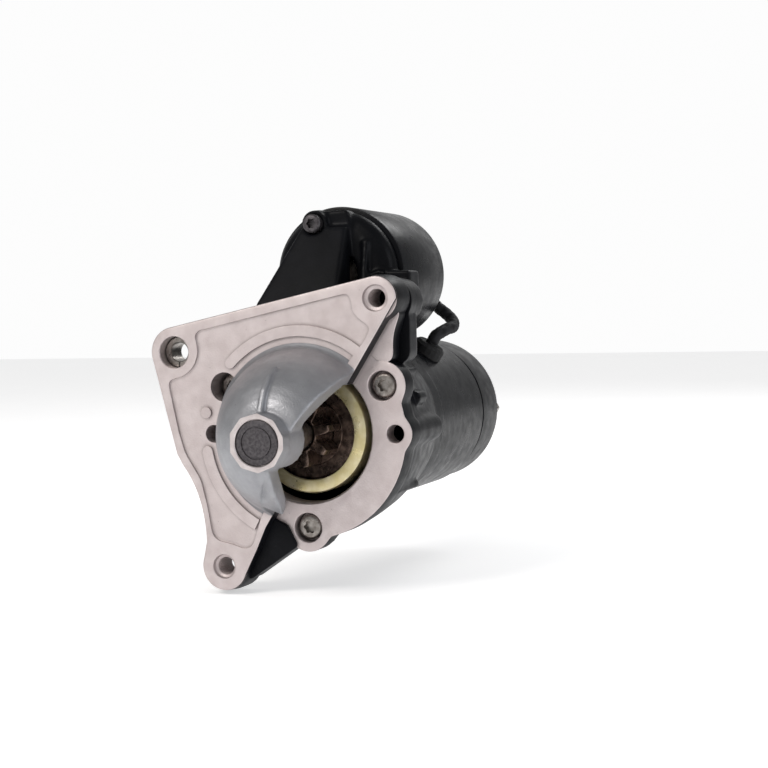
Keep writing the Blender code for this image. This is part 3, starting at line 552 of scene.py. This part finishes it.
def curved_pad(start_at, end_at, width, steps):
    """A raised strip around the nose, square at its first end and round at its last."""
    inner = 46.2
    points = arc(0, 0, inner + width, start_at, end_at, steps)
    x, z = polar(inner + width / 2, end_at)
    half_turn = 180 if end_at > start_at else -180
    points += arc(x, z, width / 2, end_at, end_at + half_turn, 8)[1:-1]
    points += arc(0, 0, inner, end_at, start_at, steps)
    return plate("pad", points, -1.5, 2.0)


def flange():
    """The round rim and the mounting plate with its ears, webs, pocket and holes."""
    body = plate("flange_casting", rim_outline(), RIM_FACE, FLANGE_BACK, 0.6)
    paint_sides(body)
    front = plate("front_plate", plate_outline(), 0.0, 10.0, 0.8)
    # The front plate's sides take the black enamel; the step wall at the opening's straight cut is
    # black as painted shade, standing for the shadow there.
    paint_sides(front)
    add(body, front)
    for x, z, radius in EARS.values():
        foot = radius + 0.8
        side = [(0, 1.5), (radius + 0.1, 1.5), (foot, 9.0), (foot, 17.5), (0, 17.5)]
        ear = turned("ear", side, at=(x, z), steps=48)
        paint_sides(ear)
        add(body, ear)
    upper = [(30.0, 30.0), (44.6, 34.0), (44.8, 46.0), (49.0, 58.0), (36.0, 56.0), (22.0, 42.0)]
    lower = [(-30.0, -71.0), (-5.0, -54.0), (-10.0, -44.0), (-40.0, -30.0), (-49.0, -52.0)]
    upper_web = plate("web", rounded(upper, 4.0), 8.2, 17.2, 0.5)
    paint_sides(upper_web, outside=(1, 0, 0))
    add(body, upper_web)
    lower_web = plate("web", rounded(lower, 2.0), 6.0, 17.2, 0.5)
    # Painted shade: top blackens this web's front face as well, standing for the shadow that falls
    # on this lower part; its sides carry the black enamel.
    paint_sides(lower_web, top=True)
    add(body, lower_web)
    pocket = plate("pocket", rounded(pocket_outline(), 3.0), -1.0, 1.1, 0.5, "high")
    cut(pocket, curved_pad(50.0, 136.0, 5.2, 30))
    cut(pocket, curved_pad(242.0, 190.0, 5.4, 24))
    cut(pocket, hole(-48.5, 10.2, 2.7, -1.5, 1.6, steps=24))
    cut(body, pocket)
    mouth = WINDOW_R + 0.7
    space = [(0, -2), (mouth, -2), (mouth, 8.4), (WINDOW_R, 9.1), (WINDOW_R, 19), (0, 19)]
    cut(body, turned("drive_space", space))
    drill_flange(body)
    done(body, "motor_frame", None, ["drive_end_housing"], 32.0, keep=True)


def drill_flange(body):
    """Counterbores, dowel holes, two threaded ears and the bore for the bushing."""
    for angle in SCREWS:
        x, z = polar(BOLT_CIRCLE, angle)
        face = 0.0 if angle == 150.0 else RIM_FACE
        cut(body, hole(x, z, 7.05, face - 1.0, 15.3, 0.35, 48))
        cut(body, hole(x, z, 3.6, 13.0, 19.0, steps=24))
    for angle in DOWELS:
        x, z = polar(BOLT_CIRCLE, angle)
        face = RIM_FACE if angle == 0.0 else 0.0
        cut(body, hole(x, z, 4.3, face - 1.0, 19.0, 0.35))
    for name, mouth in (("right", 6.3), ("low", 5.9)):
        x, z, _ = EARS[name]
        profile = [(0, -1.0), (mouth, -1.0), (mouth, 0.9), (mouth - 0.4, 1.8)]
        crest, root, y = 4.2, 4.75, 2.6
        while y < 17.0:
            profile += [(crest, y), (root, y + 0.55), (crest, y + 1.1)]
            y += THREAD_PITCH
        profile += [(crest, 19.0), (0, 19.0)]
        cut(body, turned("thread", profile, at=(x, z), steps=40))
    x, z, _ = EARS["left"]
    cut(body, hole(x, z, 7.7, -1.0, 19.0, 0.4, 48))


def nose():
    """The bell around the pinion with its bearing boss, open towards the flywheel."""
    outer = [(0, -40.0), (15.0, -38.8), (18.5, -37.6), (21.5, -35.6), (24.7, -32.9),
             (27.6, -29.8), (29.9, -26.7), (31.8, -23.5), (35.0, -17.5), (37.6, -11.5),
             (39.4, -5.5), (40.5, -1.6), (41.6, 0.0), (43.8, 1.5), (43.8, 8.0), (0, 8.0)]
    bell = turned("nose_casting", outer)
    corners = ((WINDOW_CUT, -70.0), (80.0, -70.0), (80.0, 70.0), (WINDOW_CUT, 70.0))
    cut(bell, plate("window", [window_point(*corner) for corner in corners], -60.0, 20.0))
    inner = [(0, -24.0), (13.4, -26.0), (16.0, -27.0), (22.0, -20.5), (28.0, -12.5),
             (WINDOW_R, -3.0), (WINDOW_R, 19.0), (0, 19.0)]
    cut(bell, turned("bell_inside", inner))
    boss = [(0, -50.5), (12.6, -50.5), (12.9, -40.0), (13.2, -24.0), (0, -24.0)]
    add(bell, turned("boss", boss, steps=48))
    ten_sided = arc(0, 0, 13.3, 12, 348, 9)
    add(bell, plate("boss_skin", ten_sided, -51.1, -41.3))
    crease = [(-43.0, 12.0), (-41.5, 16.0), (-37.6, 23.5), (-31.5, 29.5), (-24.5, 33.5),
              (-20.0, 30.0), (-30.0, 11.5)]
    add(bell, hull("top_rib", [(x, y, z) for y, z in crease for x in (-2.4, 0.2)]))
    web = [(-12.0, -38.4, -9.0), (1.6, -42.5, -11.8), (1.6, -37.0, -19.5), (1.0, -31.5, -26.5),
           (0.0, -23.4, -32.0), (-3.0, -14.5, -36.3), (-12.0, -20.4, -31.4), (-12.0, -32.0, -8.0),
           (1.6, -32.0, -9.5), (0.6, -19.0, -27.5), (-3.0, -10.5, -32.8), (-12.0, -17.0, -27.0)]
    add(bell, hull("low_web", web))
    cast_skin(bell, 0.6, 6)
    bore = [(0, -60.0), (30.0, -60.0), (30.0, NOSE_TIP), (10.9, NOSE_TIP), (10.5, NOSE_TIP + 0.4),
            (10.5, -45.5), (9.3, -45.5), (9.3, -20.0), (0, -20.0)]
    tool = turned("bore", bore)
    for made in (tool, bell):
        made.data.materials.append(FINISH["nose_aluminium"])
        made.data.materials.append(FINISH["machined_aluminium"])
    for face in tool.data.polygons:
        face.material_index = 1
    cut(bell, tool)
    done(bell, "motor_frame", None, ["drive_end_housing"], 40.0, keep=True)


def nose_cap():
    profile = [(0, -48.2), (6.7, -48.2), (6.8, -47.7), (7.4, -47.7), (7.5, -48.2), (9.6, -48.4),
               (10.2, -48.0), (10.2, -45.8), (0, -45.8)]
    cap = turned("nose_end_cap_pressing", profile)
    done(cap, "motor_frame", "phosphated_steel", ["nose_end_cap"])


def split_bushing():
    x, z, _ = EARS["left"]
    profile = [(4.9, 6.0), (7.1, 6.0), (7.4, 6.4), (7.4, 17.0), (4.6, 17.0), (4.6, 6.4)]
    body = turned("ear_bushing_rolled", profile, at=(x, z), steps=64)
    slit = [(x - 0.3, z - 9), (x + 0.3, z - 9), (x + 0.3, z - 3), (x - 0.3, z - 3)]
    cut(body, plate("slit", slit, 4.0, 19.0))
    done(body, "motor_frame", "steel", ["ear_bushing"])


def star(cx, cz, radius):
    """A six-lobed socket outline."""
    lobes, steps_a_lobe, depth = 6, 8, 0.22
    out = []
    for i in range(lobes * steps_a_lobe):
        a = 2 * pi * i / (lobes * steps_a_lobe)
        reach = radius * (1 - depth / 2 + depth / 2 * cos(lobes * a))
        out.append((cx + reach * cos(a), cz + reach * sin(a)))
    return out


def star_screw(name, x, z, y_head, head_r, head_h, shank_r, length, node_name, finish="steel"):
    """A round-headed screw with a star socket; length is that of its shank."""
    top, seat, tip = y_head, y_head + head_h, y_head + head_h + length
    socket_share, socket_depth = 0.56, 2.8
    profile = [(0, top), (head_r - 1.2, top), (head_r - 0.5, top + 0.2), (head_r, top + 0.8),
               (head_r, seat), (shank_r, seat), (shank_r, tip - 0.8), (shank_r - 0.7, tip),
               (0, tip)]
    made = turned(name, profile, at=(x, z), steps=48)
    cut(made, plate("socket", star(x, z, head_r * socket_share), top - 1.0, top + socket_depth))
    done(made, "motor_frame", finish, [node_name])


def housing_screws():
    for i, angle in enumerate(SCREWS):
        x, z = polar(BOLT_CIRCLE, angle)
        star_screw(f"flange_screw_{i + 1}", x, z, 10.4, 5.8, 4.6, 3.2, 13.0,
                   f"housing_screw_{i + 1}")
    for i, angle in enumerate(SOL_SCREWS):
        x, z = polar(SOL_SCREW_R, angle)
        star_screw(f"switch_screw_{i + 1}", x, SOL_Z + z, 38.9, 4.6, 4.6, 2.4, 17.5,
                   f"solenoid_screw_{i + 1}", "phosphated_steel")


# ---- black intermediate housing ---------------------------------------------------------------
def gear_case():
    """The black casting between the flange and the motor tube, with the fork's cover."""
    front = FLANGE_BACK + 0.3
    shell = [(0, front - 1.2), (RIM_R - 0.6, front - 1.2), (RIM_R - 0.6, 26.0), (49.0, 34.0),
             (47.2, 50.0), (44.0, 70.0), (41.6, 80.0), (41.4, 94.0), (0, 94.0)]
    body = turned("gear_case", shell)
    add(body, plate("back_rim", rim_outline(0.3), front - 1.5, 22.0))
    boss = [(0, front - 1), (8.1, front - 1), (7.4, 57.5), (5.8, 59.0), (0, 59.0)]
    add(body, turned("dowel_boss", boss, at=(BOLT_CIRCLE, 0), steps=40))
    lobe = arc(44.0, 53.0, 5.5, 90, 0, 6) + arc(44.0, 38.0, 5.5, 0, -90, 6)
    lobe += [(30.0, 34.0), (26.0, 44.0), (38.0, 56.0)]
    add(body, plate("side_lobe", lobe, front - 1.1, 30.0))
    backing = [(0, front - 1.3), (11.6, front - 1.3), (10.8, 38.0), (0, 40.0)]
    add(body, turned("ear_backing", backing, at=(39.3, 62.0), steps=40))
    dome(body)
    details(body)
    hollow(body, front)
    cast_skin(body, 1.0, 4)
    focus(body)
    for y, side in ((front, -1), (93.0, 1)):
        edit_all()
        bpy.ops.mesh.bisect(plane_co=(0, y * MM, 0), plane_no=(0, side, 0), use_fill=True,
                            clear_outer=True)
        leave_edit()
    done(body, "motor_frame", "black_casting", ["intermediate_housing"], 50.0)


def dome(body):
    """The cover of the shift fork, with its flat sloping front, and the solenoid's seat."""
    front = [(-31.0, 23.0, 40.0), (-31.0, 23.0, 62.0), (-29.5, 24.0, 64.0), (10.5, 21.0, 40.0),
             (10.5, 21.0, 62.0)]
    top = [(-14.5, 42.3, 99.0), (8.5, 42.3, 99.0), (9.5, 42.3, 96.0)]
    back = [(-36.0, 54.5, 36.0), (-37.9, 54.5, 63.0), (-35.5, 54.5, 69.0), (-20.2, 54.5, 93.0),
            (-14.2, 54.5, 99.0), (10.5, 54.5, 100.0), (10.5, 54.5, 36.0)]
    add(body, hull("fork_cover", front + top + back))
    crown = [(-15.0, 46.0, 96.0), (-10.0, 46.0, 107.0), (8.0, 46.5, 107.6), (10.5, 46.5, 100.0),
             (-15.0, 54.5, 96.0), (-10.0, 54.5, 107.0), (8.0, 54.5, 107.6), (10.5, 54.5, 96.0)]
    add(body, hull("crown", crown))
    seat = [(0, 45.0), (24.0, 46.5), (29.0, 48.5), (31.0, 51.0), (31.6, 53.0), (31.6, 56.0),
            (0, 56.0)]
    add(body, turned("seat", seat, at=(0, SOL_Z), steps=72))
    for i, angle in enumerate(SOL_SCREWS):
        x, z = polar(SOL_SCREW_R, angle)
        low, high = 42.4 + 0.1 * i, 55.6 - 0.1 * i
        boss = [(0, low), (6.6, low), (7.2, 50.0), (7.2, high), (0, high)]
        add(body, turned("seat_boss", boss, at=(x, SOL_Z + z), steps=40))


def details(body):
    """Ribs, the corner lug and the small knob between the screw lobe and the dowel boss."""
    lug = [(30.0, 66.0), (42.5, 66.0), (42.5, 76.8), (30.0, 77.0)]
    add(body, plate("corner_lug", lug, 40.0, 54.7))
    rib = [(16.5, 38.0, 60.0), (19.5, 38.0, 60.0), (16.5, 45.0, 92.0), (19.5, 45.0, 92.0),
           (16.5, 53.0, 60.0), (19.5, 53.0, 60.0), (16.5, 53.0, 92.0), (19.5, 53.0, 92.0)]
    add(body, hull("seat_rib", rib))
    knob = [(0, 30.0), (3.6, 30.0), (3.6, 41.0), (2.6, 42.0), (0, 42.0)]
    add(body, turned("knob", knob, at=(46.5, 15.5), steps=24))
    rib = [(-40.0, 24.0, 30.0), (-37.0, 24.0, 32.0), (-34.0, 24.0, 44.0), (-33.0, 52.0, 52.0),
           (-42.0, 52.0, 20.0), (-30.0, 52.0, 20.0), (-30.0, 24.0, 20.0)]
    add(body, hull("left_rib", rib))
    half = 1.6
    for z in (-28.0, 28.0):
        rib = [(30.0, z - half), (41.0, z - half), (41.0, z + half), (30.0, z + half)]
        add(body, plate("long_rib", rib, 24.0, 52.0))


def hollow(body, front):
    """The room for the clutch, the fork and the gears, and every bore for a screw, pin or bolt."""
    inside = [(0, front - 3), (34.5, front - 3), (34.5, 44.0), (31.0, 63.7), (9.0, 63.7),
              (9.0, 65.0), (0, 65.0)]
    cut(body, turned("clutch_space", inside))
    slot = [(31.0, 20.0), (31.0, 62.0), (33.0, 72.0), (37.2, 84.0), (57.5, 86.0), (57.5, 62.0),
            (62.0, 40.0), (62.0, 20.0)]
    fork_way = row_of_points("fork_slot", [(-9.0, y, z) for y, z in slot], "NGON")
    edit_all()
    extrude(18.0, 0, 0)
    leave_edit()
    cut(body, close_up(fork_way))
    cut(body, hole(0, SOL_Z, 13.0, 44.0, 58.0))
    gears = [(0, 63.0), (10.5, 63.0), (10.5, 68.0), (32.0, 68.0), (32.0, 96.0), (0, 96.0)]
    cut(body, turned("gear_space", gears))
    can = [(0, 56.0), (SOL_R + 0.8, 56.0), (SOL_R + 0.8, 98.0), (0, 98.0)]
    cut(body, turned("can_clearance", can, at=(0, SOL_Z)))
    pivot = [(0, -14.0), (2.7, -14.0), (2.7, 40.0), (0, 40.0)]
    cut(body, turned("pivot_hole", pivot, at=(46.5, 50.0), steps=24, axis="X"))
    for angle in SCREWS + DOWELS:
        x, z = polar(BOLT_CIRCLE, angle)
        radius = 3.6 if angle in SCREWS else 4.3
        cut(body, hole(x, z, radius, front - 4, 31.0, steps=24))
    for angle in LONG_BOLTS:
        x, z = polar(LONG_BOLT_R, angle)
        cut(body, hole(x, z, 2.8, 79.0, 96.0, steps=24))
    for angle in SOL_SCREWS:
        x, z = polar(SOL_SCREW_R, angle)
        cut(body, hole(x, SOL_Z + z, 3.0, 36.0, 58.0, steps=24))
        cut(body, hole(x, SOL_Z + z, 5.3, 12.0, 43.8, steps=32))


# ---- motor and solenoid shells ----------------------------------------------------------------
def yoke():
    """The rolled steel tube of the motor, with the hole that the lead goes in by."""
    inner, back = YOKE_R - 3.0, YOKE_BACK - 0.3
    profile = [(YOKE_R - 0.5, 93.3), (YOKE_R, 93.8), (YOKE_R, YOKE_BACK - 1.0),
               (YOKE_R - 0.6, back), (inner, back), (inner, 93.3)]
    tube = turned("motor_tube", profile, steps=128)
    bore = [(0, 30), (5.4, 30), (5.4, 50), (0, 50)]
    way = turned("lead_way", bore, at=(0, LEAD_Y), steps=40, axis="Z")
    way.data.transform(Matrix.Rotation(radians(90 - LEAD_ANGLE), 4, "Y"))
    cut(tube, way)
    done(tube, "motor_frame", "black_paint", ["yoke_tube"])


def end_cover():
    """The brush end's cover: a cap with a groove around it and a dome over the rear bush."""
    back, groove, wall = YOKE_BACK, COVER_R - 0.9, COVER_R - 2.4
    outer = [(0, 202.0), (8.4, 202.0), (9.0, 201.5), (9.4, 200.6), (10.4, 200.2), (34.0, 200.2),
             (36.4, 200.0), (38.2, 199.4), (39.4, 198.2), (COVER_R, 196.4), (COVER_R, 169.6),
             (groove, 169.2), (groove, 167.4), (COVER_R, 167.0), (COVER_R, back + 0.4),
             (COVER_R - 0.5, back), (wall, back)]
    inner = [(wall, 194.0), (COVER_R - 4.5, 195.2), (9.9, 195.2), (9.9, 186.0), (8.0, 186.0),
             (8.0, 199.6), (0, 199.6)]
    cover = turned("brush_cover", outer + inner, steps=128)
    for angle in LONG_BOLTS:
        x, z = polar(LONG_BOLT_R, angle)
        cut(cover, hole(x, z, 2.5, 190.0, 206.0, steps=24))
        cut(cover, hole(x, z, 5.6, 198.6, 206.0, steps=32))
    done(cover, "motor_frame", "black_casting", ["rear_cover"])


def hexagon(cx, cz, across_flats):
    return arc(cx, cz, across_flats / sqrt(3), 0, 300, 5)


def nut(name, x, z, across, low, high, bore):
    """A hexagon with turned-off corners at its outer end, and a threaded bore."""
    body = plate(name, hexagon(x, z, across), low, high)
    corner = across / sqrt(3)
    crown, chamfer = across / 2 - 0.3, 1.4
    ring = [(crown, high + 1), (crown, high), (corner + 0.5, high - chamfer),
            (corner + 2, high - chamfer), (corner + 2, high + 1)]
    cut(body, turned("corner_cut", ring, at=(x, z), steps=48))
    if bore:
        cut(body, hole(x, z, bore, low - 2.0, high + 2.0, steps=32))
    return body


def threaded_rod(name, x, z, radius, low, plain, high):
    """A rod that is plain from low to plain, and has thread ridges from there to high."""
    thread_depth, tip = 0.55, 0.8
    profile, y = [(0, low), (radius, low), (radius, plain)], plain
    while y + THREAD_PITCH < high - tip:
        profile.append((radius - thread_depth, y + THREAD_PITCH * 0.3))
        profile.append((radius, y + THREAD_PITCH * 0.8))
        y += THREAD_PITCH
    profile += [(radius, high - tip), (radius - tip, high), (0, high)]
    return turned(name, profile, at=(x, z), steps=40)


def through_bolts():
    shank = [(0, 91.0), (2.1, 91.0), (2.1, 200.0), (0, 200.0)]
    for i, angle in enumerate(LONG_BOLTS):
        x, z = polar(LONG_BOLT_R, angle)
        bolt = nut(f"long_bolt_{i + 1}", x, z, 8.0, 198.9, 203.4, 0)
        add(bolt, threaded_rod("shank", x, z, 2.2, 80.0, 90.0, 92.0))
        add(bolt, turned("plain_shank", shank, at=(x, z), steps=32))
        done(bolt, "motor_frame", "steel", [f"through_bolt_{i + 1}"])


def solenoid():
    """The can, the moulded terminal cap, and two copper studs with their nuts."""
    inner = SOL_R - 2.2
    can = [(SOL_R - 1.2, 56.3), (SOL_R - 0.3, 56.6), (SOL_R, 57.5), (SOL_R, 120.2),
           (SOL_R - 0.3, 121.4), (SOL_R - 1.0, 122.0), (SOL_R - 2.0, 122.0), (inner, 121.6),
           (inner, 59.5), (12.2, 59.5), (12.2, 56.3)]
    body = turned("switch_can", can, at=(0, SOL_Z), steps=128)
    for angle in SOL_SCREWS:
        x, z = polar(SOL_SCREW_R, angle)
        cut(body, hole(x, SOL_Z + z, 2.8, 50.0, 62.0, steps=24))
    done(body, "motor_frame", "black_paint", ["solenoid_can"])
    cap = [(31.4, 119.8), (31.4, 122.3), (31.0, 122.6), (30.6, 124.0), (29.0, 134.4),
           (28.4, 135.6), (27.2, 136.0), (0, 136.0), (0, 132.0), (25.5, 132.0), (25.5, 119.8)]
    end = turned("terminal_cap", cap, at=(0, SOL_Z), steps=96)
    stud_foot = [(0, 127.0), (7.0, 127.0), (7.0, 130.0), (0, 130.0)]
    eye_thickness = 3.3
    for name, (x, z) in STUDS.items():
        cut(end, hole(x, z, 4.3, 124.0, 140.0))
        rod = threaded_rod(f"{name}_terminal", x, z, 4.0, 127.0, 136.5, 152.0)
        add(rod, turned("stud_foot", stud_foot, at=(x, z), steps=40))
        done(rod, "motor_frame", "copper", [f"{name}_stud"])
        low = 136.3 + (eye_thickness if name == "motor" else 0.0)
        made = nut(f"{name}_terminal_nut", x, z, 13.0, low, 145.5, 4.3)
        done(made, "motor_frame", "steel", [f"{name}_nut"])
    low, high = SOL_Z - 24.4, SOL_Z - 16.6
    blade_way = [(-1.4, low), (1.4, low), (1.4, high), (-1.4, high)]
    cut(end, plate("blade_way", blade_way, 125.0, 140.0))
    low, high = SOL_Z - 12.0, SOL_Z + 20.0
    divider = [(-1.2, low), (1.2, low), (1.2, high), (-1.2, high)]
    add(end, plate("divider", divider, 134.0, 143.0, 0.5, "high"))
    done(end, "motor_frame", "black_plastic", ["solenoid_end_cap"])


# ---- drive ------------------------------------------------------------------------------------
def clutch():
    """The plated cup, whose lip is the ring around the pinion, and the hub inside it."""
    shell = [(22.6, 13.0), (22.9, 12.6), (27.6, 12.6), (28.6, 13.0), (29.2, 14.0), (29.2, 34.6),
             (28.4, 35.8), (27.0, 36.0), (18.0, 36.0), (18.0, 34.8), (27.9, 34.8), (27.9, 14.0),
             (22.6, 13.8)]
    cup = turned("clutch_cup", shell, steps=128)
    done(cup, "clutch", "yellow_zinc", ["clutch_shell"])
    race = [(11.4, 15.6), (15.2, 15.6), (15.6, 15.9), (16.0, 15.4), (21.8, 15.4), (22.2, 15.8),
            (27.5, 16.0), (27.5, 34.4), (17.6, 34.4), (13.4, 36.5), (13.4, 61.5), (9.0, 61.5),
            (9.0, 29.0), (11.4, 27.6)]
    done(turned("clutch_hub", race), "clutch", "dark_steel", ["clutch_race"])


def tooth_outline(teeth, root, tip, phase):
    """Curved tooth flanks with rounded tips and roots."""
    points, pitch = [], 360 / teeth
    # One flank as radii and angles; the angles are from the tooth's middle, in half pitches.
    flank = [(root, -0.74), (root + 0.8, -0.62), (root + 2.6, -0.53), (root + 4.6, -0.4),
             (tip - 0.5, -0.27), (tip, -0.2)]
    for i in range(teeth):
        for radius, share in flank + [(r, -s) for r, s in reversed(flank)]:
            points.append(polar(radius, phase + i * pitch + share * pitch / 2))
    return points


def pinion():
    """The eight-toothed drive gear and the hub behind it."""
    body = plate("pinion_gear", tooth_outline(8, 8.9, 15.6, 12.0), -1.0, 15.0, 0.5)
    hub = [(0, 12.0), (11.0, 12.0), (11.0, 27.0), (0, 27.0)]
    add(body, turned("pinion_hub", hub, steps=64))
    bore = [(0, -5.0), (8.3, -5.0), (8.3, -0.9), (7.6, -0.2), (7.6, 30.0), (0, 30.0)]
    cut(body, turned("pinion_bore", bore, steps=64))
    done(body, "pinion", "dark_steel", ["pinion"])


# ---- lead from the solenoid to the motor ------------------------------------------------------
def lead_out(radius):
    """A point on the line that the lead goes into the motor tube by."""
    x, z = polar(radius, LEAD_ANGLE)
    return (x, LEAD_Y, z)


def smooth_line(knots, steps):
    """Points along a smooth curve through every knot."""
    ends = [2 * Vector(knots[0]) - Vector(knots[1])] + [Vector(k) for k in knots]
    ends.append(2 * Vector(knots[-1]) - Vector(knots[-2]))
    line = []
    for a, b, c, d in zip(ends, ends[1:], ends[2:], ends[3:]):
        for i in range(steps):
            t = i / steps
            bend = (2 * a - 5 * b + 4 * c - d) * t * t
            line.append(0.5 * (2 * b + (c - a) * t + bend + (3 * b - a - 3 * c + d) * t ** 3))
    return line + [ends[-2]]


def lead():
    """A round sleeve along the lead's route, with its weave laid out in millimetres along it."""
    route = [(21.5, 147.3, 58.5), (26.5, 146.8, 54.8), (31.0, 143.5, 51.0), (32.8, 137.5, 48.0)]
    route += [(31.8, 130.5, 47.0), lead_out(52.0), lead_out(48.5), lead_out(45.0), lead_out(39.0)]
    line, around, radius = smooth_line(route, 10), 20, 3.25
    uv_unit = 12.0                # millimetres of sleeve for one unit of its UV map
    deselect()
    bpy.ops.mesh.primitive_grid_add(x_subdivisions=around, y_subdivisions=len(line) - 1)
    made = bpy.context.object
    made.name = made.data.name = "braided_lead"
    weave = made.data.uv_layers.active.data
    side = Vector((0, 0, 1))
    rings, length, travelled = [], 0.0, []
    for i, point in enumerate(line):
        ahead = (line[min(i + 1, len(line) - 1)] - line[max(i - 1, 0)]).normalized()
        side = (side - ahead * side.dot(ahead)).normalized()
        rings.append((point, side.copy(), ahead.cross(side)))
        length += (point - line[max(i - 1, 0)]).length
        travelled.append(length)
    for j, (point, first, second) in enumerate(rings):
        for i in range(around + 1):
            turn = 2 * pi * i / around
            swell = radius * (1 + 0.03 * sin(6 * turn + travelled[j] * 1.7))
            place = point + (first * cos(turn) + second * sin(turn)) * swell
            made.data.vertices[j * (around + 1) + i].co = place * MM
    for loop in made.data.loops:
        i, j = loop.vertex_index % (around + 1), loop.vertex_index // (around + 1)
        weave[loop.index].uv = (i / around * 2 * pi * radius / uv_unit, travelled[j] / uv_unit)
    focus(made)
    edit_all()
    bpy.ops.mesh.remove_doubles(threshold=SAME)
    bpy.ops.mesh.select_all(action="DESELECT")
    bpy.ops.mesh.select_non_manifold()
    bpy.ops.mesh.fill_holes(sides=0)
    leave_edit()
    done(close_up(made), "motor_frame", "sleeve", ["motor_lead"], 60.0)


# ---- plunger spring ---------------------------------------------------------------------------
def plunger_spring():
    """The plunger's return spring, a copy of its CAD node's mesh at one length; the real spring
    shortens as the plunger is pulled in.
    """
    made = bpy.data.objects.new("plunger_spring", frame["nodes"]["return_spring"].data.copy())
    bpy.context.scene.collection.objects.link(made)
    done(close_up(made), "motor_frame", "steel", ["return_spring"], 60.0)
    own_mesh(made)


# ---- CAD nodes that keep their shape ----------------------------------------------------------
def finish_cad_nodes():
    """Give every CAD node the finish of its slot, and the windings and the eye their own."""
    slots = {part["node"]: part["material_slot"] for part in frame["record"]["subparts"]}
    wound = ("coil", "armature_winding_front", "armature_winding_rear")
    own = {name: "winding" for name in wound}
    own["lead_eye"] = "phosphated_steel"
    for name, made in frame["nodes"].items():
        for place in made.material_slots:
            place.material = FINISH[own.get(name, slots[name])]


# ---- stage, in metres -------------------------------------------------------------------------
FLOOR_Z = -0.0775                 # just under the lowest ear
FLOOR_SIZE = 8.0
FLOOR_GLOW = 0.5                  # keeps the floor near white where the lights don't reach
# The room is bright only ahead: from the cosine of the angle to this line, to a strength.
VIEW_AHEAD = (-0.345, 0.938, -0.04)
ROOM = {"From Min": 0.82, "From Max": 0.95, "To Min": 0.36, "To Max": 0.98}
# Each light is its place, aim, width, watts and tint.
LIGHTS = {
    "key": ((-0.55, -1.1, 1.0), (0.0, 0.05, 0.02), 0.7, 11.0, "#fffaf5"),
    "side": ((1.2, -0.2, 0.5), (0.0, 0.1, 0.02), 0.5, 2.5, "#f4f7ff"),
    "back": ((0.3, 1.2, 1.0), (0.0, 0.1, 0.05), 0.6, 5.0, "#ffffff"),
}
CAMERA_AT = (0.2965, -0.6902, 0.0567)
CAMERA_RIGHT = (0.93878, 0.34390, -0.02070)
CAMERA_UP = (0.00397, 0.04926, 0.99878)


def soft_light(name, place, aim, size, power, tint):
    light = bpy.data.lights.new(name, "AREA")
    light.shape, light.size, light.energy = "DISK", size, power
    light.color = colour(tint)[:3]
    made = bpy.data.objects.new(name, light)
    bpy.context.scene.collection.objects.link(made)
    made.location = place
    made.rotation_euler = (Vector(aim) - Vector(place)).to_track_quat("-Z", "Y").to_euler()


def studio():
    """A white floor, three soft lights, and a room that is bright only behind the motor."""
    deselect()
    bpy.ops.mesh.primitive_plane_add(size=FLOOR_SIZE, location=(0, 0, 0))
    floor = bpy.context.object
    floor.name = "floor"
    floor.data.transform(Matrix.Translation((0, 0, FLOOR_Z)))
    made, tree, shader, place = start("matt_white_paper", 0.9, 0.0, 0.1)
    tone = grain(tree, place, 60.0, 0.3, 0.7)
    base = blend_colours(tree, tone, colour("#fafafa"), colour("#f6f6f7"))
    tree.links.new(base, shader.inputs["Base Color"])
    shader.inputs["Emission Color"].default_value = (1.0, 1.0, 1.0, 1.0)
    shader.inputs["Emission Strength"].default_value = FLOOR_GLOW
    floor.data.materials.append(made)
    world = bpy.data.worlds.new("soft_room")
    world.use_nodes = True
    tree = world.node_tree
    background = tree.nodes["Background"]
    background.inputs["Color"].default_value = (1.0, 1.0, 1.0, 1.0)
    way = node(tree, "TexCoord").outputs["Generated"]
    facing = node(tree, "VectorMath", {0: way, 1: VIEW_AHEAD}, operation="DOT_PRODUCT")
    wall = node(tree, "MapRange", {"Value": facing.outputs["Value"], **ROOM})
    tree.links.new(wall.outputs["Result"], background.inputs["Strength"])
    bpy.context.scene.world = world
    for name, (place, aim, width, watts, tint) in LIGHTS.items():
        soft_light(name, place, aim, width, watts, tint)


def camera():
    lens = bpy.data.cameras.new("camera")
    lens.lens, lens.sensor_width = 75.0, 36.0
    lens.clip_start, lens.clip_end = 0.01, 20.0
    made = bpy.data.objects.new("camera", lens)
    bpy.context.scene.collection.objects.link(made)
    right, up = Vector(CAMERA_RIGHT), Vector(CAMERA_UP)
    turn = Matrix((right, up, right.cross(up))).transposed().to_4x4()
    made.matrix_world = Matrix.Translation(CAMERA_AT) @ turn
    bpy.context.scene.camera = made


camera()
finish_cad_nodes()
flange()
nose()
nose_cap()
split_bushing()
housing_screws()
gear_case()
yoke()
end_cover()
through_bolts()
solenoid()
clutch()
pinion()
lead()
plunger_spring()
studio()
bpy.context.scene.view_settings.view_transform = "Standard"
